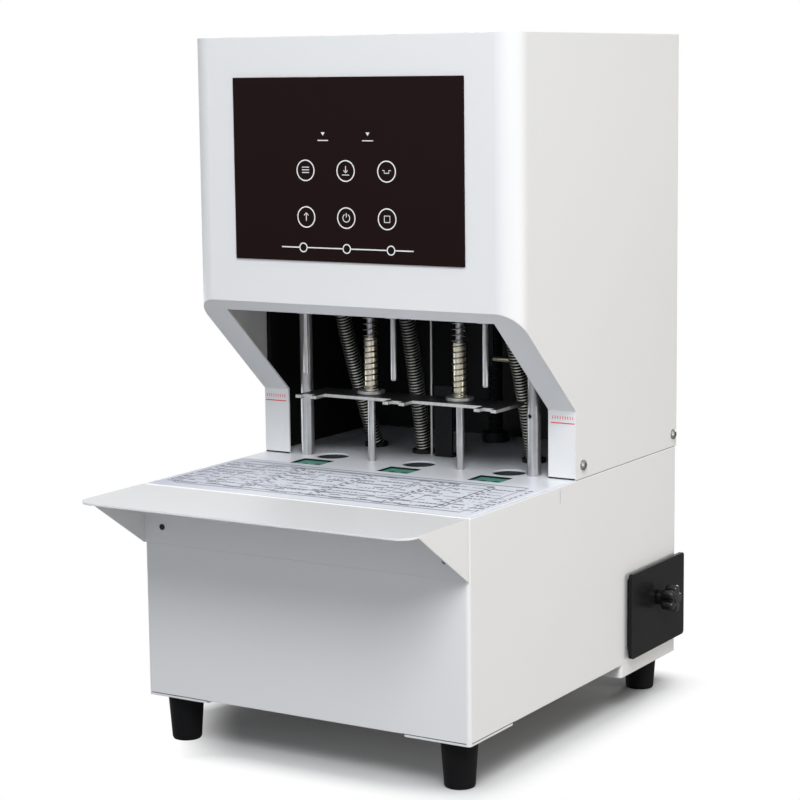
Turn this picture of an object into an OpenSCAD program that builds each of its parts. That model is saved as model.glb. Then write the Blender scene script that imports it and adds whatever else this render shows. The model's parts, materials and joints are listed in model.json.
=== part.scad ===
// Thread binding machine: a desk machine that drills three holes through a stack of paper.
// Machine coordinates: x = 0 on the middle plane, y = 0 on the base's front wall, z = 0 on the floor.

/* [Base] */
// Width of the base and the head
base_w = 280; // [268:1:320]
// Depth of the base from its front wall to its back wall
base_d = 340; // [326:1:380]
// Height of the base walls below the table plate
base_h = 158.8; // [145:0.1:190]
// Thickness of the sheet casings
sheet = 1.5; // [1:0.1:2]
// Radius of the upright corners of the base
base_r = 3; // [2.5:0.5:8]
// Distance of the side slit behind the base's front wall
slit_y = 136; // [100:1:160]
// Height of the side slit below the table plate
slit_h = 12.5; // [5:0.5:30]

/* [Feet] */
// Height of the base walls above the floor
foot_clear = 38; // [30:1:50]
// Largest diameter of a rubber foot
foot_top_d = 27.5; // [20:0.5:32]
// Diameter of a rubber foot at the floor
foot_low_d = 22.5; // [16:0.5:28]
// Distance of the foot axes from the side walls
foot_side = 20; // [17:1:30]
// Distance of the front foot axes behind the front wall
foot_front = 20; // [17:1:30]
// Distance of the rear foot axes before the back wall
foot_back = 25; // [20:1:40]
// Thickness of the foot plates and of the rear foot pan
foot_plate_t = 2; // [1.5:0.5:3]
// Size of a front foot plate along x
foot_plate_w = 55; // [45:1:80]
// Size of a front foot plate along y
foot_plate_l = 64; // [45:1:80]
// Size of the rear foot pan along y
pan_l = 101; // [70:1:140]
// Height of the rear foot pan
pan_h = 10.5; // [6:0.5:16]

/* [Table] */
// Thickness of the table plate
table_t = 1.2; // [1:0.1:2]
// Thickness of the bed plate under the table
bed_t = 8; // [7:0.5:12]
// Distance between neighbouring drill bits
hole_pitch = 80; // [76:1:86]
// Distance of the drill bits behind the base's front wall
bit_y = 132; // [126:1:138]
// Distance of the pad centres behind the drill bits
pad_offset = 5.5; // [3:0.5:7]
// Diameter of a drill pad
pad_d = 46; // [40:1:48]
// Width of a pad window in the table
window_w = 28; // [20:1:31]
// Depth of a pad window in the table
window_l = 23; // [18:1:25]
// Diameter of a finger hole behind a pad
finger_d = 26; // [18:1:28]
// Distance of the finger holes behind the drill bits
finger_offset = 36; // [32:1:40]
// Margin between the table's front and side edges and the alignment sheet
guide_edge = 2.5; // [1:0.5:10]
// Gap between the alignment sheet and the pad windows
guide_gap = 0.5; // [0.3:0.1:20]

/* [Front tray] */
// Depth of the tray in front of the base
tray_d = 80; // [60:1:100]
// Height of the tray's back flange
tray_h = 44; // [30:1:70]
// Radius of the tray's front corners
tray_r = 14; // [6:1:24]

/* [Head] */
// Height of the head above the table
head_h = 329; // [315:1:370]
// Distance of the head's front face behind the base's front wall
head_y = 70; // [60:1:78]
// Radius of the head's front corners
head_r = 17; // [8:1:24]
// Height of the lower edge of the head's front face above the table
chin_h = 132.5; // [122:0.5:140]
// Distance of the leg fronts behind the base's front wall
leg_y = 161; // [150:1:168]
// Height of the leg fronts above the table
leg_h = 52; // [40:1:70]
// Width of each leg
leg_w = 23; // [18:1:25]
// Depth of the border between the front's lower edge and the head window
chin_border = 9; // [5:1:16]
// Width of the touch panel
panel_w = 198; // [160:1:220]
// Height of the touch panel
panel_h = 134.5; // [100:0.5:160]
// Thickness of the touch panel
panel_t = 1.2; // [0.8:0.1:3]
// Radius of the touch panel's corners
panel_r = 0.5; // [0.5:0.5:10]

/* [Columns and press] */
// Distance of the columns outside the outer drill bits
col_offset = 22.5; // [18:0.5:24]
// Distance of the columns behind the drill bits
col_back = 34; // [32:1:44]
// Diameter of the columns where the bushes slide
col_d = 10; // [9:0.5:12]
// Added diameter of the thicker foot of each column
col_step = 0.6; // [0.4:0.1:3]
// Height of the thicker foot of each column
col_foot_h = 48; // [20:1:48]
// Distance of the guide posts behind the drill bits
post_back = 31; // [29:1:36]
// Diameter of the guide posts
post_d = 6; // [4:0.5:7]
// Height of the press plate above the table
press_gap = 51.2; // [30:0.1:52]
// Thickness of the press plate
press_t = 2.5; // [2:0.5:4]
// Distance of the press plate's front edge behind the drill bits
press_edge = 12; // [8:0.5:20]
// Distance of the prong tips before the drill bits
prong_reach = 1.5; // [0:0.5:6]
// Width of the slot round a drill bit
fork_slot = 9.4; // [7:0.2:10]
// Depth of the slot behind a drill bit
fork_deep = 4.5; // [3:0.5:8]
// Width of each prong beside a slot
prong_w = 4.8; // [3:0.2:8]
// Diameter of the collars on the press plate
collar_d = 22; // [16:1:24]
// Height of the collars
collar_h = 5; // [3:0.5:8]
// Diameter of the brass sleeves
sleeve_d = 10; // [9:0.5:10.5]
// Length of the brass sleeves above the collars
sleeve_l = 39; // [20:1:45]

/* [Springs] */
// Wire diameter of the press springs
press_wire = 1.2; // [0.8:0.1:1.6]
// Turns of each press spring
press_turns = 12; // [6:1:14]
// Wire diameter of the coiled chip hoses
hose_wire = 1.8; // [1.2:0.1:2.2]
// Outer diameter of the coiled chip hoses
hose_d = 13; // [10:0.5:15]
// Turns of each coiled chip hose
hose_turns = 22; // [12:1:24]

/* [Drill carriage] */
// Height of the carriage's underside above the table
carriage_gap = 132; // [128:1:150]
// Thickness of the carriage plate
carriage_t = 12; // [10:1:16]
// Height of the drill tips above the table
tip_gap = 70; // [60:1:76]
// Diameter of the drill bits
bit_d = 4.2; // [3.6:0.1:5.5]
// Diameter of the bore through the drill bits
bit_bore = 2.8; // [2:0.1:3.2]
// Diameter of the spindle housings
housing_d = 34; // [30:1:36]
// Height of the spindle housings
housing_h = 58; // [40:1:70]
// Diameter of the spindle bearings
bearing_d = 26; // [20:1:28]
// Diameter of the spindle shafts
spindle_d = 12; // [9:0.5:14]
// Running diameter of the belt pulleys
pulley_d = 28; // [20:1:32]
// Width of the drive belt
belt_w = 10; // [6:1:14]
// Thickness of the drive belt
belt_t = 2; // [1:0.5:3]
// Diameter of the drill motor
motor_d = 56; // [40:1:64]
// Diameter of the feed screw
screw_d = 12; // [10:1:16]

/* [Chip drawer] */
// Length of the drawer box into the base
drawer_l = 198; // [140:1:220]
// Width of the drawer box
drawer_w = 84; // [60:1:88]
// Height of the drawer box
drawer_h = 54; // [40:1:66]
// Amount by which the drawer front covers the opening on each side
front_lap = 5; // [4:0.5:6]
// Thickness of the drawer front
front_t = 3; // [2:0.5:6]
// Gap between the side wall and the drawer front
front_stand = 3.3; // [0.3:0.1:6]
// Diameter of the lobed knob
knob_d = 22; // [16:1:34]
// Length of the lobed knob
knob_l = 10; // [6:1:16]
// Gap between the drawer front and the lobed knob
knob_stand = 6; // [3:0.5:12]

/* [Hidden] */
$fn = 48;

// clearances: seats, running fits, and gaps between moving pieces
snug = 0.05;
run = 0.05;
gap = 0.3;

// heights
z_base = foot_clear;
z_bed = z_base + base_h - bed_t;
z_under = z_base + base_h;
z_table = z_under + table_t;
z_top = z_table + head_h;

// places across and along the machine
bit_xs = [-hole_pitch, 0, hole_pitch];
pad_y = bit_y + pad_offset;
finger_y = bit_y + finger_offset;
finger_edge = 0.4;
col_x = hole_pitch + col_offset;
col_y = bit_y + col_back;
col_foot_d = col_d + col_step;
post_x = hole_pitch / 2;
post_y = bit_y + post_back;

// drill pads lie in the bed, below the table
pad_lift = 0.2;
pad_top = z_under - gap;
pad_pin_d = 5;
pad_skin = 2;
carrier_t = 3;
carrier_d = pad_d + 8;

// alignment sheet from the table's front edge to the pad windows
guide_t = 0.3;
guide_l = pad_y - window_l / 2 - guide_gap - guide_edge;

// head frame
frame_t = 3;
frame_x = base_w / 2 - sheet - gap;
frame_back = 22;
back_frame_y = base_d - frame_back;
crown_t = 8;
crown_drop = 22;
crown_edge = 20;
z_crown = z_top - crown_drop;
vent_l = 40;
vent_pitch = vent_l + 12;

// set screw in the foot of each column
grub_d = 3.4;
grub_drop = 2.4;
grub_turns = [-42, -11.5];

// press plate
z_press = z_table + press_gap;
z_collar = z_press + press_t;
z_sleeve = z_collar + collar_h;
press_rim = 0.8;
press_back = post_y + collar_d / 2 + press_rim;
press_edge_y = bit_y + press_edge;
prong_front = bit_y - prong_reach;
fork_w = fork_slot + 2 * prong_w;
press_w = 2 * hole_pitch + fork_w;

// drill carriage
z_car = z_table + carriage_gap;
z_car_top = z_car + carriage_t;
z_tip = z_table + tip_gap;
feed_travel = z_tip - pad_top - gap;
press_travel = press_gap - gap;
bush_d = col_d + 8;
bush_flange = bush_d + 6;
bush_flange_t = 4;
bush_drop = 4;
bush_rise = 26;
nut_d = screw_d + 10;
nut_flange = screw_d + 22;
screw_y = back_frame_y - nut_flange / 2 - 10;
motor_y = screw_y - nut_flange / 2 - motor_d / 2 - 8;
car_front = bit_y - housing_d / 2 - 3;
car_back = screw_y + nut_flange / 2 + 3;
car_w = 2 * col_x + bush_flange;
nose_d = 17;
nose_edge = 4;
bearing_h = 8;
nose_drop = 14;
pulley_gap = 4;
pulley_flange = 1.5;
pulley_h = belt_w + 2 * pulley_flange + 1;
z_pulley = z_car_top + housing_h + pulley_gap;
z_belt = z_pulley + pulley_flange + 0.5;
belt_gap = 0.25;
motor_h = housing_h - 4;
motor_shaft = 8;
shaft_deep = 24;
screw_end = 20;
block_d = screw_d + 10;
block_h = 8;

// coiled chip hoses: foot and top of each axis on the table and under the carriage
port_h = 3;
port_d = hose_d + 6;
hose_feet = [[-75.5, 226], [-24, 216], [74.5, 218]];
hose_tops = [[-80.5, 180], [-24, 186], [71.5, 178]];
hose_low = z_table + port_h + gap;
hose_high = z_car - gap;
outlet_d = hose_d - 5;

// sensor rod before the drill motor, and sensor bracket behind the press
rod_d = 3;
rod_x = -13.5;
rod_gap = 0.7;
rod_y = motor_y - sqrt(pow(motor_d / 2 + rod_d / 2 + rod_gap, 2) - rod_x * rod_x);
sensor_x = 1;
sensor_back = 29;
sensor_y = press_back + sensor_back;
sensor_w = 16;
sensor_t = 2;
sensor_foot = 13;
sensor_block_l = 9;
sensor_block_h = 12;
sensor_gap = 4;
sensor_h = carriage_gap - feed_travel - sensor_gap;

// sensor flag that hangs under the carriage
flag_x = 49;
flag_back = 20;
flag_y = press_back + flag_back;
flag_w = 6;
flag_t = 2;
flag_drop = 55;
flag_pin_d = 4;
flag_pin_l = 14;
flag_pin_drop = 49.5;

// chip drawer runs in along x, close to the back wall
drawer_back = 4;
drawer_y = base_d - drawer_back - drawer_w / 2;
drawer_gap = 2;
rail_h = 9;
rail_w = 4;
z_rail = z_base + sheet + rail_h;
z_drawer = z_rail + 0.2;
open_w = drawer_w + 2 * drawer_gap;
open_h = drawer_h + 2 * drawer_gap;
z_open = z_drawer - drawer_gap;
front_x = base_w / 2 + front_stand;
box_x = base_w / 2 - sheet - 1;
front_r = 3;
stem_d = 8;
knob_z = z_drawer + drawer_h * 0.62;
knob_x = front_x + front_t + knob_stand;
knob_lobes = 5;

// power inlet and rocker switch on the back wall
inlet_side = 12.5;
inlet_up = 60;
inlet_w = 34;
inlet_x = box_x - drawer_l - inlet_side - inlet_w / 2;
inlet_z = z_base + inlet_up;
inlet_h = 62;
inlet_flange_t = 2.5;
inlet_lap = 3;
inlet_body_l = 24;
plug_w = 24;
plug_h = 16;
plug_l = 16;
plug_z = -12;
rocker_w = 13;
rocker_r = 10;
rocker_z = 16;
rocker_tilt = 7;
rocker_rise = 3.2;
rocker_y = base_d - 0.5;

// screws
screw_head_d = 8;
screw_head_h = 2.4;
screw_shank_d = 4;
screw_shank_l = 6;
tray_screw_side = 18;
tray_screw_drop = 31;
tray_screw_size = 0.56;
tray_screw_x = base_w / 2 - tray_screw_side;
tray_screw_z = z_table - tray_screw_drop;
side_screw_z = z_table + 10;
side_screw_ys = [leg_y + 11.6, base_d - 7];
back_lip = 9;
back_screw_zs = [z_table + 16, z_table + head_h / 2, z_top - 16];
foot_bolt_d = 5;
foot_bolt_head = 9;
foot_nut = 4;

// power supply and control board
psu_w = 96;
psu_l = 70;
psu_h = 46;
psu_gap = 12;
board_side = 15;
board_edge = 13;
board_w = panel_w - 2 * board_side;
board_h = panel_h - 2 * board_edge;
board_t = 1.6;
board_stand = 5;
chip_w = 24;
chip_h = 6;
panel_z = z_table + (chin_h + head_h) / 2 + 1.5;

// the whole object's box, whose bottom centre is the origin
rocker_tip = rocker_y + rocker_rise * cos(rocker_tilt) + (rocker_r - 2 * gap) * sin(rocker_tilt);
x_min = -base_w / 2 - screw_head_h;
x_max = knob_x + knob_l;
y_min = -tray_d;
y_max = max(rocker_tip, base_d + inlet_flange_t, drawer_y + open_w / 2 + front_lap);

// shifts a sub-part from machine coordinates to the object's own frame
module placed() {
  translate([-(x_min + x_max) / 2, -(y_min + y_max) / 2, 0]) children();
}

// rectangle with round corners, centred on x, running from y = 0 to y = d
module rounded(w, d, r) {
  translate([-w / 2 + r, 0]) square([w - 2 * r, d]);
  translate([-w / 2, r]) square([w, d - 2 * r]);
  for (x = [-1, 1], y = [r, d - r])
    translate([x * (w / 2 - r), y]) circle(r);
}

// upright hole of diameter d through everything between two heights
module bore(d, low, high) {
  translate([0, 0, low - 1]) cylinder(d = d, h = high - low + 2);
}

// tube standing on z = low
module tube(outer, inner, low, h) {
  translate([0, 0, low]) difference() {
    cylinder(d = outer, h = h);
    translate([0, 0, -1]) cylinder(d = inner, h = h + 2);
  }
}

// places children at every column, post, drill bit or foot
module at_columns() {
  for (x = [-col_x, col_x]) translate([x, col_y, 0]) children();
}
module at_posts() {
  for (x = [-post_x, post_x]) translate([x, post_y, 0]) children();
}
module at_bits() {
  for (x = bit_xs) translate([x, bit_y, 0]) children();
}
module at_feet() {
  for (x = [-1, 1], y = [foot_front, base_d - foot_back])
    translate([x * (base_w / 2 - foot_side), y, 0]) children();
}

// pan-head screw with a crossed slot, head resting on z = 0 and shank below
module pan_screw() {
  difference() {
    union() {
      cylinder(d = screw_head_d, h = screw_head_h * 0.55);
      translate([0, 0, screw_head_h * 0.55])
        cylinder(d1 = screw_head_d, d2 = screw_head_d * 0.6, h = screw_head_h * 0.45);
      translate([0, 0, -screw_shank_l]) cylinder(d = screw_shank_d, h = screw_shank_l);
    }
    for (a = [0, 90])
      rotate(a) translate([-screw_head_d * 0.26, -0.5, screw_head_h - 1])
        cube([screw_head_d * 0.52, 1, 2]);
  }
}

// places children on each case screw's seat, with z pointing out of the casing
module at_tray_screws() {
  for (x = [-tray_screw_x, tray_screw_x])
    translate([x, -sheet, tray_screw_z]) rotate([90, 0, 0]) children();
}
module at_side_screws() {
  for (s = [-1, 1], y = side_screw_ys)
    translate([s * base_w / 2, y, side_screw_z]) rotate([0, s * 90, 0]) children();
}
module at_back_screws() {
  for (s = [-1, 1], z = back_screw_zs)
    translate([s * (base_w / 2 - sheet - back_lip / 2), base_d, z]) rotate([-90, 0, 0]) children();
}
module screw_hole() {
  translate([0, 0, -screw_shank_l - 2]) cylinder(d = screw_shank_d + 2 * snug, h = screw_shank_l + 4);
}

// base casing

module base_shell() {
  color("white") difference() {
    translate([0, 0, z_base]) linear_extrude(base_h) difference() {
      rounded(base_w, base_d, base_r);
      translate([0, sheet]) rounded(base_w - 2 * sheet, base_d - 2 * sheet, max(base_r - sheet, 0.5));
    }
    translate([base_w / 2 - sheet - 2, drawer_y - open_w / 2, z_open])
      cube([sheet + 4, open_w, open_h]);
    translate([inlet_x - inlet_w / 2 + inlet_lap, base_d - sheet - 2, inlet_z - inlet_h / 2 + inlet_lap])
      cube([inlet_w - 2 * inlet_lap, sheet + 4, inlet_h - 2 * inlet_lap]);
    for (s = [-1, 1])
      translate([s * base_w / 2 - sheet - 1, slit_y - 0.5, z_under - slit_h])
        cube([2 * sheet + 2, 1, slit_h + 1]);
    at_tray_screws() scale(tray_screw_size) screw_hole();
  }
}

module base_floor() {
  color("white") difference() {
    translate([0, sheet + snug, z_base]) linear_extrude(sheet)
      rounded(base_w - 2 * sheet - 2 * snug, base_d - 2 * sheet - 2 * snug, max(base_r - sheet, 0.5));
    at_feet() bore(foot_bolt_d + 2 * snug, z_base, z_base + sheet);
  }
}

module front_foot_plates() {
  color("white") difference() {
    for (s = [-1, 1])
      translate([s * (base_w - foot_plate_w) / 2, 0, z_base - foot_plate_t])
        linear_extrude(foot_plate_t) rounded(foot_plate_w, foot_plate_l, base_r);
    at_feet() bore(foot_bolt_d + 2 * snug, z_base - foot_plate_t, z_base);
  }
}

module rear_foot_pan() {
  color("white") difference() {
    translate([0, base_d - pan_l, z_base - pan_h]) linear_extrude(pan_h) rounded(base_w, pan_l, base_r);
    translate([0, base_d - pan_l + foot_plate_t, z_base - pan_h - 1])
      linear_extrude(pan_h - foot_plate_t + 1)
        rounded(base_w - 2 * foot_plate_t, pan_l - 2 * foot_plate_t, max(base_r - foot_plate_t, 0.5));
    at_feet() bore(foot_bolt_d + 2 * snug, z_base - foot_plate_t, z_base);
  }
}

module rubber_feet() {
  foot_h = z_base - foot_plate_t;
  edge = 1.5;
  color("#202124") at_feet() difference() {
    union() {
      cylinder(d1 = foot_low_d - edge, d2 = foot_low_d, h = edge);
      translate([0, 0, edge]) cylinder(d1 = foot_low_d, d2 = foot_top_d, h = foot_h - edge);
    }
    translate([0, 0, -1]) cylinder(d = foot_bolt_head + 2, h = foot_h / 2 + 1);
    bore(foot_bolt_d + 2 * snug, 0, foot_h);
  }
}

module foot_bolts() {
  head_z = (z_base - foot_plate_t) / 2;
  color("silver") at_feet() {
    translate([0, 0, head_z - 3]) cylinder(d = foot_bolt_head, h = 3);
    translate([0, 0, head_z]) cylinder(d = foot_bolt_d, h = z_base + sheet + foot_nut + 1 - head_z);
    tube(foot_bolt_head + 1, foot_bolt_d + 2 * snug, z_base + sheet, foot_nut);
  }
}

// table

module table_plate() {
  color("white") difference() {
    translate([0, 0, z_under]) linear_extrude(table_t) rounded(base_w, base_d, base_r);
    for (x = bit_xs) {
      translate([x, pad_y - window_l / 2, z_under - 1])
        linear_extrude(table_t + 2) rounded(window_w, window_l, 1);
      translate([x, finger_y, 0]) bore(finger_d, z_under, z_table);
      translate([x, finger_y, z_table - finger_edge])
        cylinder(d1 = finger_d, d2 = finger_d + 4 * finger_edge, h = 2 * finger_edge);
    }
    at_columns() bore(col_d + 2 * snug, z_under, z_table);
    at_posts() bore(post_d + 2 * snug, z_under, z_table);
    translate([rod_x, rod_y, 0]) bore(rod_d + 2 * snug, z_under, z_table);
    translate([0, screw_y, 0]) bore(screw_d + 2, z_under, z_table);
    for (p = hose_feet) translate([p[0], p[1], 0]) bore(outlet_d, z_under, z_table);
    for (s = [-1, 1])
      translate([s * base_w / 2 - sheet - 1, slit_y - 0.5, z_under - 1])
        cube([2 * sheet + 2, 1, table_t + 2]);
  }
}

module guide_sheet() {
  color("#c9d0e0") translate([0, guide_edge, z_table]) linear_extrude(guide_t)
    rounded(base_w - 2 * guide_edge, guide_l, base_r);
}

module bed_plate() {
  bed_y = pad_y - carrier_d / 2;
  bed_w = base_w - 2 * sheet - 2;
  color("dimgray") difference() {
    translate([0, bed_y, z_bed]) linear_extrude(bed_t) rounded(bed_w, base_d - sheet - 1 - bed_y, 2);
    for (x = bit_xs) {
      translate([x, pad_y, 0]) bore(pad_d + 2 * gap, z_bed, z_under);
      translate([x, finger_y, 0]) bore(finger_d, z_bed, z_under);
    }
    at_columns() bore(col_d + 2 * snug, z_bed, z_under);
    at_posts() bore(post_d + 2 * snug, z_bed, z_under);
    translate([0, screw_y, 0]) bore(screw_d + 2, z_bed, z_under);
    for (p = hose_feet) translate([p[0], p[1], 0]) bore(outlet_d, z_bed, z_under);
  }
}

module pad_carriers() {
  color("gray") for (x = bit_xs) translate([x, pad_y, z_bed - carrier_t]) {
    cylinder(d = carrier_d, h = carrier_t);
    cylinder(d = pad_pin_d, h = pad_top - pad_skin - gap - z_bed + carrier_t);
  }
}

module drill_pad(x) {
  color("#50967f") translate([x, pad_y, 0]) difference() {
    translate([0, 0, z_bed + pad_lift]) cylinder(d = pad_d, h = pad_top - z_bed - pad_lift);
    translate([0, 0, z_bed - 1]) cylinder(d = pad_pin_d + 2 * run, h = pad_top - pad_skin - z_bed + 1);
  }
}

// front tray

module front_tray() {
  color("white") difference() {
    union() {
      translate([0, -tray_d, z_table - sheet]) linear_extrude(sheet) {
        rounded(base_w, tray_d, tray_r);
        translate([-base_w / 2, tray_d / 2]) square([base_w, tray_d / 2]);
      }
      translate([-base_w / 2, -sheet, z_table - tray_h]) cube([base_w, sheet, tray_h]);
      for (x = [-base_w / 2, base_w / 2 - sheet])
        translate([x, 0, z_table]) rotate([90, 0, 90]) linear_extrude(sheet)
          polygon([[-tray_d + tray_r, -sheet], [-sheet, -tray_h], [0, -tray_h], [0, -sheet]]);
    }
    at_tray_screws() scale(tray_screw_size) screw_hole();
  }
}

module case_screws() {
  color("silver") {
    at_tray_screws() scale(tray_screw_size) pan_screw();
    at_side_screws() pan_screw();
    at_back_screws() pan_screw();
  }
}

// head casing

// plan outline of the head, drawn in by e on its front and sides
module head_plan(e) {
  front = head_y + e;
  w = base_w - 2 * e;
  r = head_r - e;
  translate([0, front]) {
    rounded(w, base_d - front, r);
    translate([-w / 2, r]) square([w, base_d - front - r]);
  }
}

// side outline of the head, drawn in by e on its front, chin and leg fronts
module head_side(e, low, high, back) {
  run_y = leg_y - head_y;
  fall = chin_h - leg_h;
  slope = sqrt(run_y * run_y + fall * fall);
  lift = e * (slope - fall) / run_y;
  polygon([
    [head_y + e, z_table + chin_h + lift], [head_y + e, high], [back, high], [back, low],
    [leg_y + e, low], [leg_y + e, z_table + leg_h + lift]
  ]);
}

module head_solid(e, low, high, back) {
  intersection() {
    translate([0, 0, low]) linear_extrude(high - low) head_plan(e);
    translate([-base_w, 0, 0]) rotate([90, 0, 90]) linear_extrude(2 * base_w) head_side(e, low, high, back);
  }
}

// flange that carries the lid and the back panel inside the wrap
module head_lips() {
  lid_z = z_top - 2 * sheet;
  back_y = base_d - 2 * sheet;
  translate([0, 0, lid_z]) linear_extrude(sheet) difference() {
    head_plan(sheet);
    head_plan(sheet + back_lip);
    translate([-base_w / 2, base_d - sheet]) square([base_w, 2 * sheet]);
  }
  for (s = [-1, 1])
    translate([s * (base_w / 2 - sheet - back_lip / 2) - back_lip / 2, back_y, z_table])
      cube([back_lip, sheet, head_h - 2 * sheet]);
}

module head_wrap() {
  window_top = z_table + chin_h - chin_border * (chin_h - leg_h) / (leg_y - head_y);
  color("white") difference() {
    union() {
      difference() {
        head_solid(0, z_table, z_top, base_d);
        head_solid(sheet, z_table - 1, z_top + 1, base_d + 1);
        translate([sheet - base_w / 2, base_d - sheet, z_table - 1])
          cube([base_w - 2 * sheet, sheet + 1, head_h + 2]);
      }
      head_lips();
    }
    translate([leg_w - base_w / 2, head_y - 1, z_table - 1])
      cube([base_w - 2 * leg_w, leg_y + sheet + 2 - head_y, window_top - z_table + 1]);
    translate([-board_w / 2 - 3, head_y - 1, panel_z - board_h / 2 - 3])
      cube([board_w + 6, sheet + 2, board_h + 6]);
    at_side_screws() screw_hole();
    at_back_screws() screw_hole();
  }
}

// row of n vent slots, each standing on y = 0
module vent_slots(n = 12, pitch = 14, r = 1.5) {
  for (i = [0 : n - 1])
    translate([(i - (n - 1) / 2) * pitch, 0]) {
      translate([-r, r]) square([2 * r, vent_l - 2 * r]);
      for (y = [r, vent_l - r]) translate([0, y]) circle(r);
    }
}

module head_lid() {
  lid_l = base_d - sheet - gap - head_y - sheet;
  color("white") translate([0, 0, z_top - sheet]) linear_extrude(sheet) difference() {
    intersection() {
      head_plan(sheet + snug);
      translate([-base_w, head_y]) square([2 * base_w, lid_l + sheet]);
    }
    for (k = [0, 1]) translate([0, head_y + lid_l * 0.55 + k * vent_pitch]) vent_slots();
  }
}

module head_back() {
  w = base_w - 2 * sheet - 2 * snug;
  color("white") difference() {
    translate([0, base_d, z_table]) rotate([90, 0, 0]) linear_extrude(sheet) difference() {
      translate([-w / 2, 0]) square([w, head_h]);
      for (k = [0, 1]) translate([0, head_h * 0.6 + k * vent_pitch]) vent_slots();
    }
    at_back_screws() screw_hole();
  }
}

module touch_panel() {
  color("#241818") translate([0, head_y, panel_z - panel_h / 2]) rotate([90, 0, 0])
    linear_extrude(panel_t) rounded(panel_w, panel_h, panel_r);
}

module control_board() {
  board_y = head_y + sheet + board_stand;
  color("darkgreen") {
    translate([-board_w / 2 - 7, board_y, panel_z - board_h / 2 - 7])
      cube([board_w + 14, board_t, board_h + 14]);
    for (x = [-1, 1], z = [-1, 1])
      translate([x * (board_w / 2 + 5), board_y, panel_z + z * (board_h / 2 + 5)])
        rotate([90, 0, 0]) cylinder(d = 3.5, h = board_stand);
    for (i = [-1 : 1])
      translate([i * board_w * 0.3 - chip_w / 2, board_y + board_t, panel_z - chip_w / 2])
        cube([chip_w, chip_h, chip_w]);
  }
}

// head frame

module side_frames() {
  front = leg_y + sheet + gap;
  color("#1c1c20") difference() {
    for (s = [-1, 1])
      translate([s * (frame_x - frame_t / 2) - frame_t / 2, front, z_table])
        cube([frame_t, back_frame_y + frame_t - front, z_crown - z_table]);
    at_side_screws() screw_hole();
  }
}

module back_frame() {
  w = 2 * (frame_x - frame_t);
  color("#1c1c20") translate([-w / 2, back_frame_y, z_table]) cube([w, frame_t, z_crown - z_table]);
}

module crown_plate() {
  front = col_y - crown_edge;
  color("#1c1c20") difference() {
    translate([0, front, z_crown]) linear_extrude(crown_t)
      rounded(2 * frame_x, back_frame_y + frame_t - front, 3);
    at_columns() bore(col_d + 2 * snug, z_crown, z_crown + crown_t);
    translate([0, screw_y, 0]) bore(screw_d + 2, z_crown, z_crown + crown_t);
    translate([rod_x, rod_y, 0]) bore(rod_d + 2 * snug, z_crown, z_crown + crown_t);
  }
}

module guide_columns() {
  color("lightgray") difference() {
    at_columns() {
      translate([0, 0, z_bed]) cylinder(d = col_d, h = z_crown + crown_t - z_bed);
      translate([0, 0, z_table]) cylinder(d = col_foot_d, h = col_foot_h);
    }
    for (i = [0, 1])
      translate([(2 * i - 1) * col_x, col_y, z_table + col_foot_h - grub_drop])
        rotate([90, 0, grub_turns[i]]) cylinder(d = grub_d, h = col_foot_d);
  }
}

module guide_posts() {
  tip = 1;
  color("lightgray") at_posts() {
    translate([0, 0, z_bed]) cylinder(d = post_d, h = z_car_top - tip - z_bed);
    translate([0, 0, z_car_top - tip]) cylinder(d1 = post_d, d2 = post_d - 2 * tip, h = tip);
  }
}

module carriage_sensor() {
  color("#303236") {
    translate([rod_x, rod_y, z_under]) cylinder(d = rod_d, h = z_crown + crown_t - z_under);
    translate([sensor_x - sensor_w / 2, sensor_y, z_table]) {
      cube([sensor_w, sensor_t, sensor_h]);
      cube([sensor_w, sensor_foot, sensor_t]);
      translate([sensor_t, 0, sensor_h - sensor_t - sensor_block_h])
        cube([sensor_w - 2 * sensor_t, sensor_block_l, sensor_block_h]);
    }
  }
}

// press

module press_plate() {
  color("silver") difference() {
    translate([0, 0, z_press]) linear_extrude(press_t) difference() {
      union() {
        translate([-press_w / 2, press_edge_y]) square([press_w, press_back - press_edge_y]);
        for (x = bit_xs) translate([x - fork_w / 2, prong_front])
          square([fork_w, press_edge_y - prong_front + 1]);
      }
      for (x = bit_xs)
        translate([x - fork_slot / 2, prong_front - 1]) square([fork_slot, prong_reach + fork_deep + 1]);
    }
    at_posts() bore(post_d + 2 * run, z_press, z_collar);
  }
}

module press_collars() {
  color("silver") at_posts() tube(collar_d, sleeve_d + 2 * snug, z_collar, collar_h);
}

module press_sleeves() {
  color("#d8b878") at_posts() tube(sleeve_d, post_d + 2 * run, z_collar, collar_h + sleeve_l);
}

// wire coils

// points of a coil of radius r whose axis runs from a to b, ends straight for one wire diameter
function coil_path(a, b, r, wire, turns, steps) =
  let (
    low = a + [0, 0, wire],
    axis = b - a - [0, 0, 2 * wire],
    along = axis / norm(axis),
    across = [1, 0, 0],
    third = cross(along, across),
    n = turns * steps,
    turn = 360 / steps,
    at = function (i) low + axis * i / n + r * (across * cos(turn * i) + third * sin(turn * i))
  )
  concat([at(0) - [0, 0, wire]], [for (i = [0 : n]) at(i)], [at(n) + [0, 0, wire]]);

// direction of a path at point i, halfway between its two stretches
function path_dir(p, i) =
  let (
    before = p[max(i, 1)] - p[max(i, 1) - 1],
    after = p[min(i + 1, len(p) - 1)] - p[min(i + 1, len(p) - 1) - 1],
    sum = before / norm(before) + after / norm(after)
  )
  sum / norm(sum);

// ring of points round each path point, kept from twisting by the coil's own axis
function wire_ring(p, i, c, r, sides) =
  let (
    d = path_dir(p, i),
    out = p[i] - [c[0], c[1], p[i][2]],
    side = cross(d, out),
    u = side / norm(side),
    v = cross(u, d)
  )
  [for (k = [0 : sides - 1]) p[i] + r * (u * cos(360 * k / sides) + v * sin(360 * k / sides))];

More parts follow.
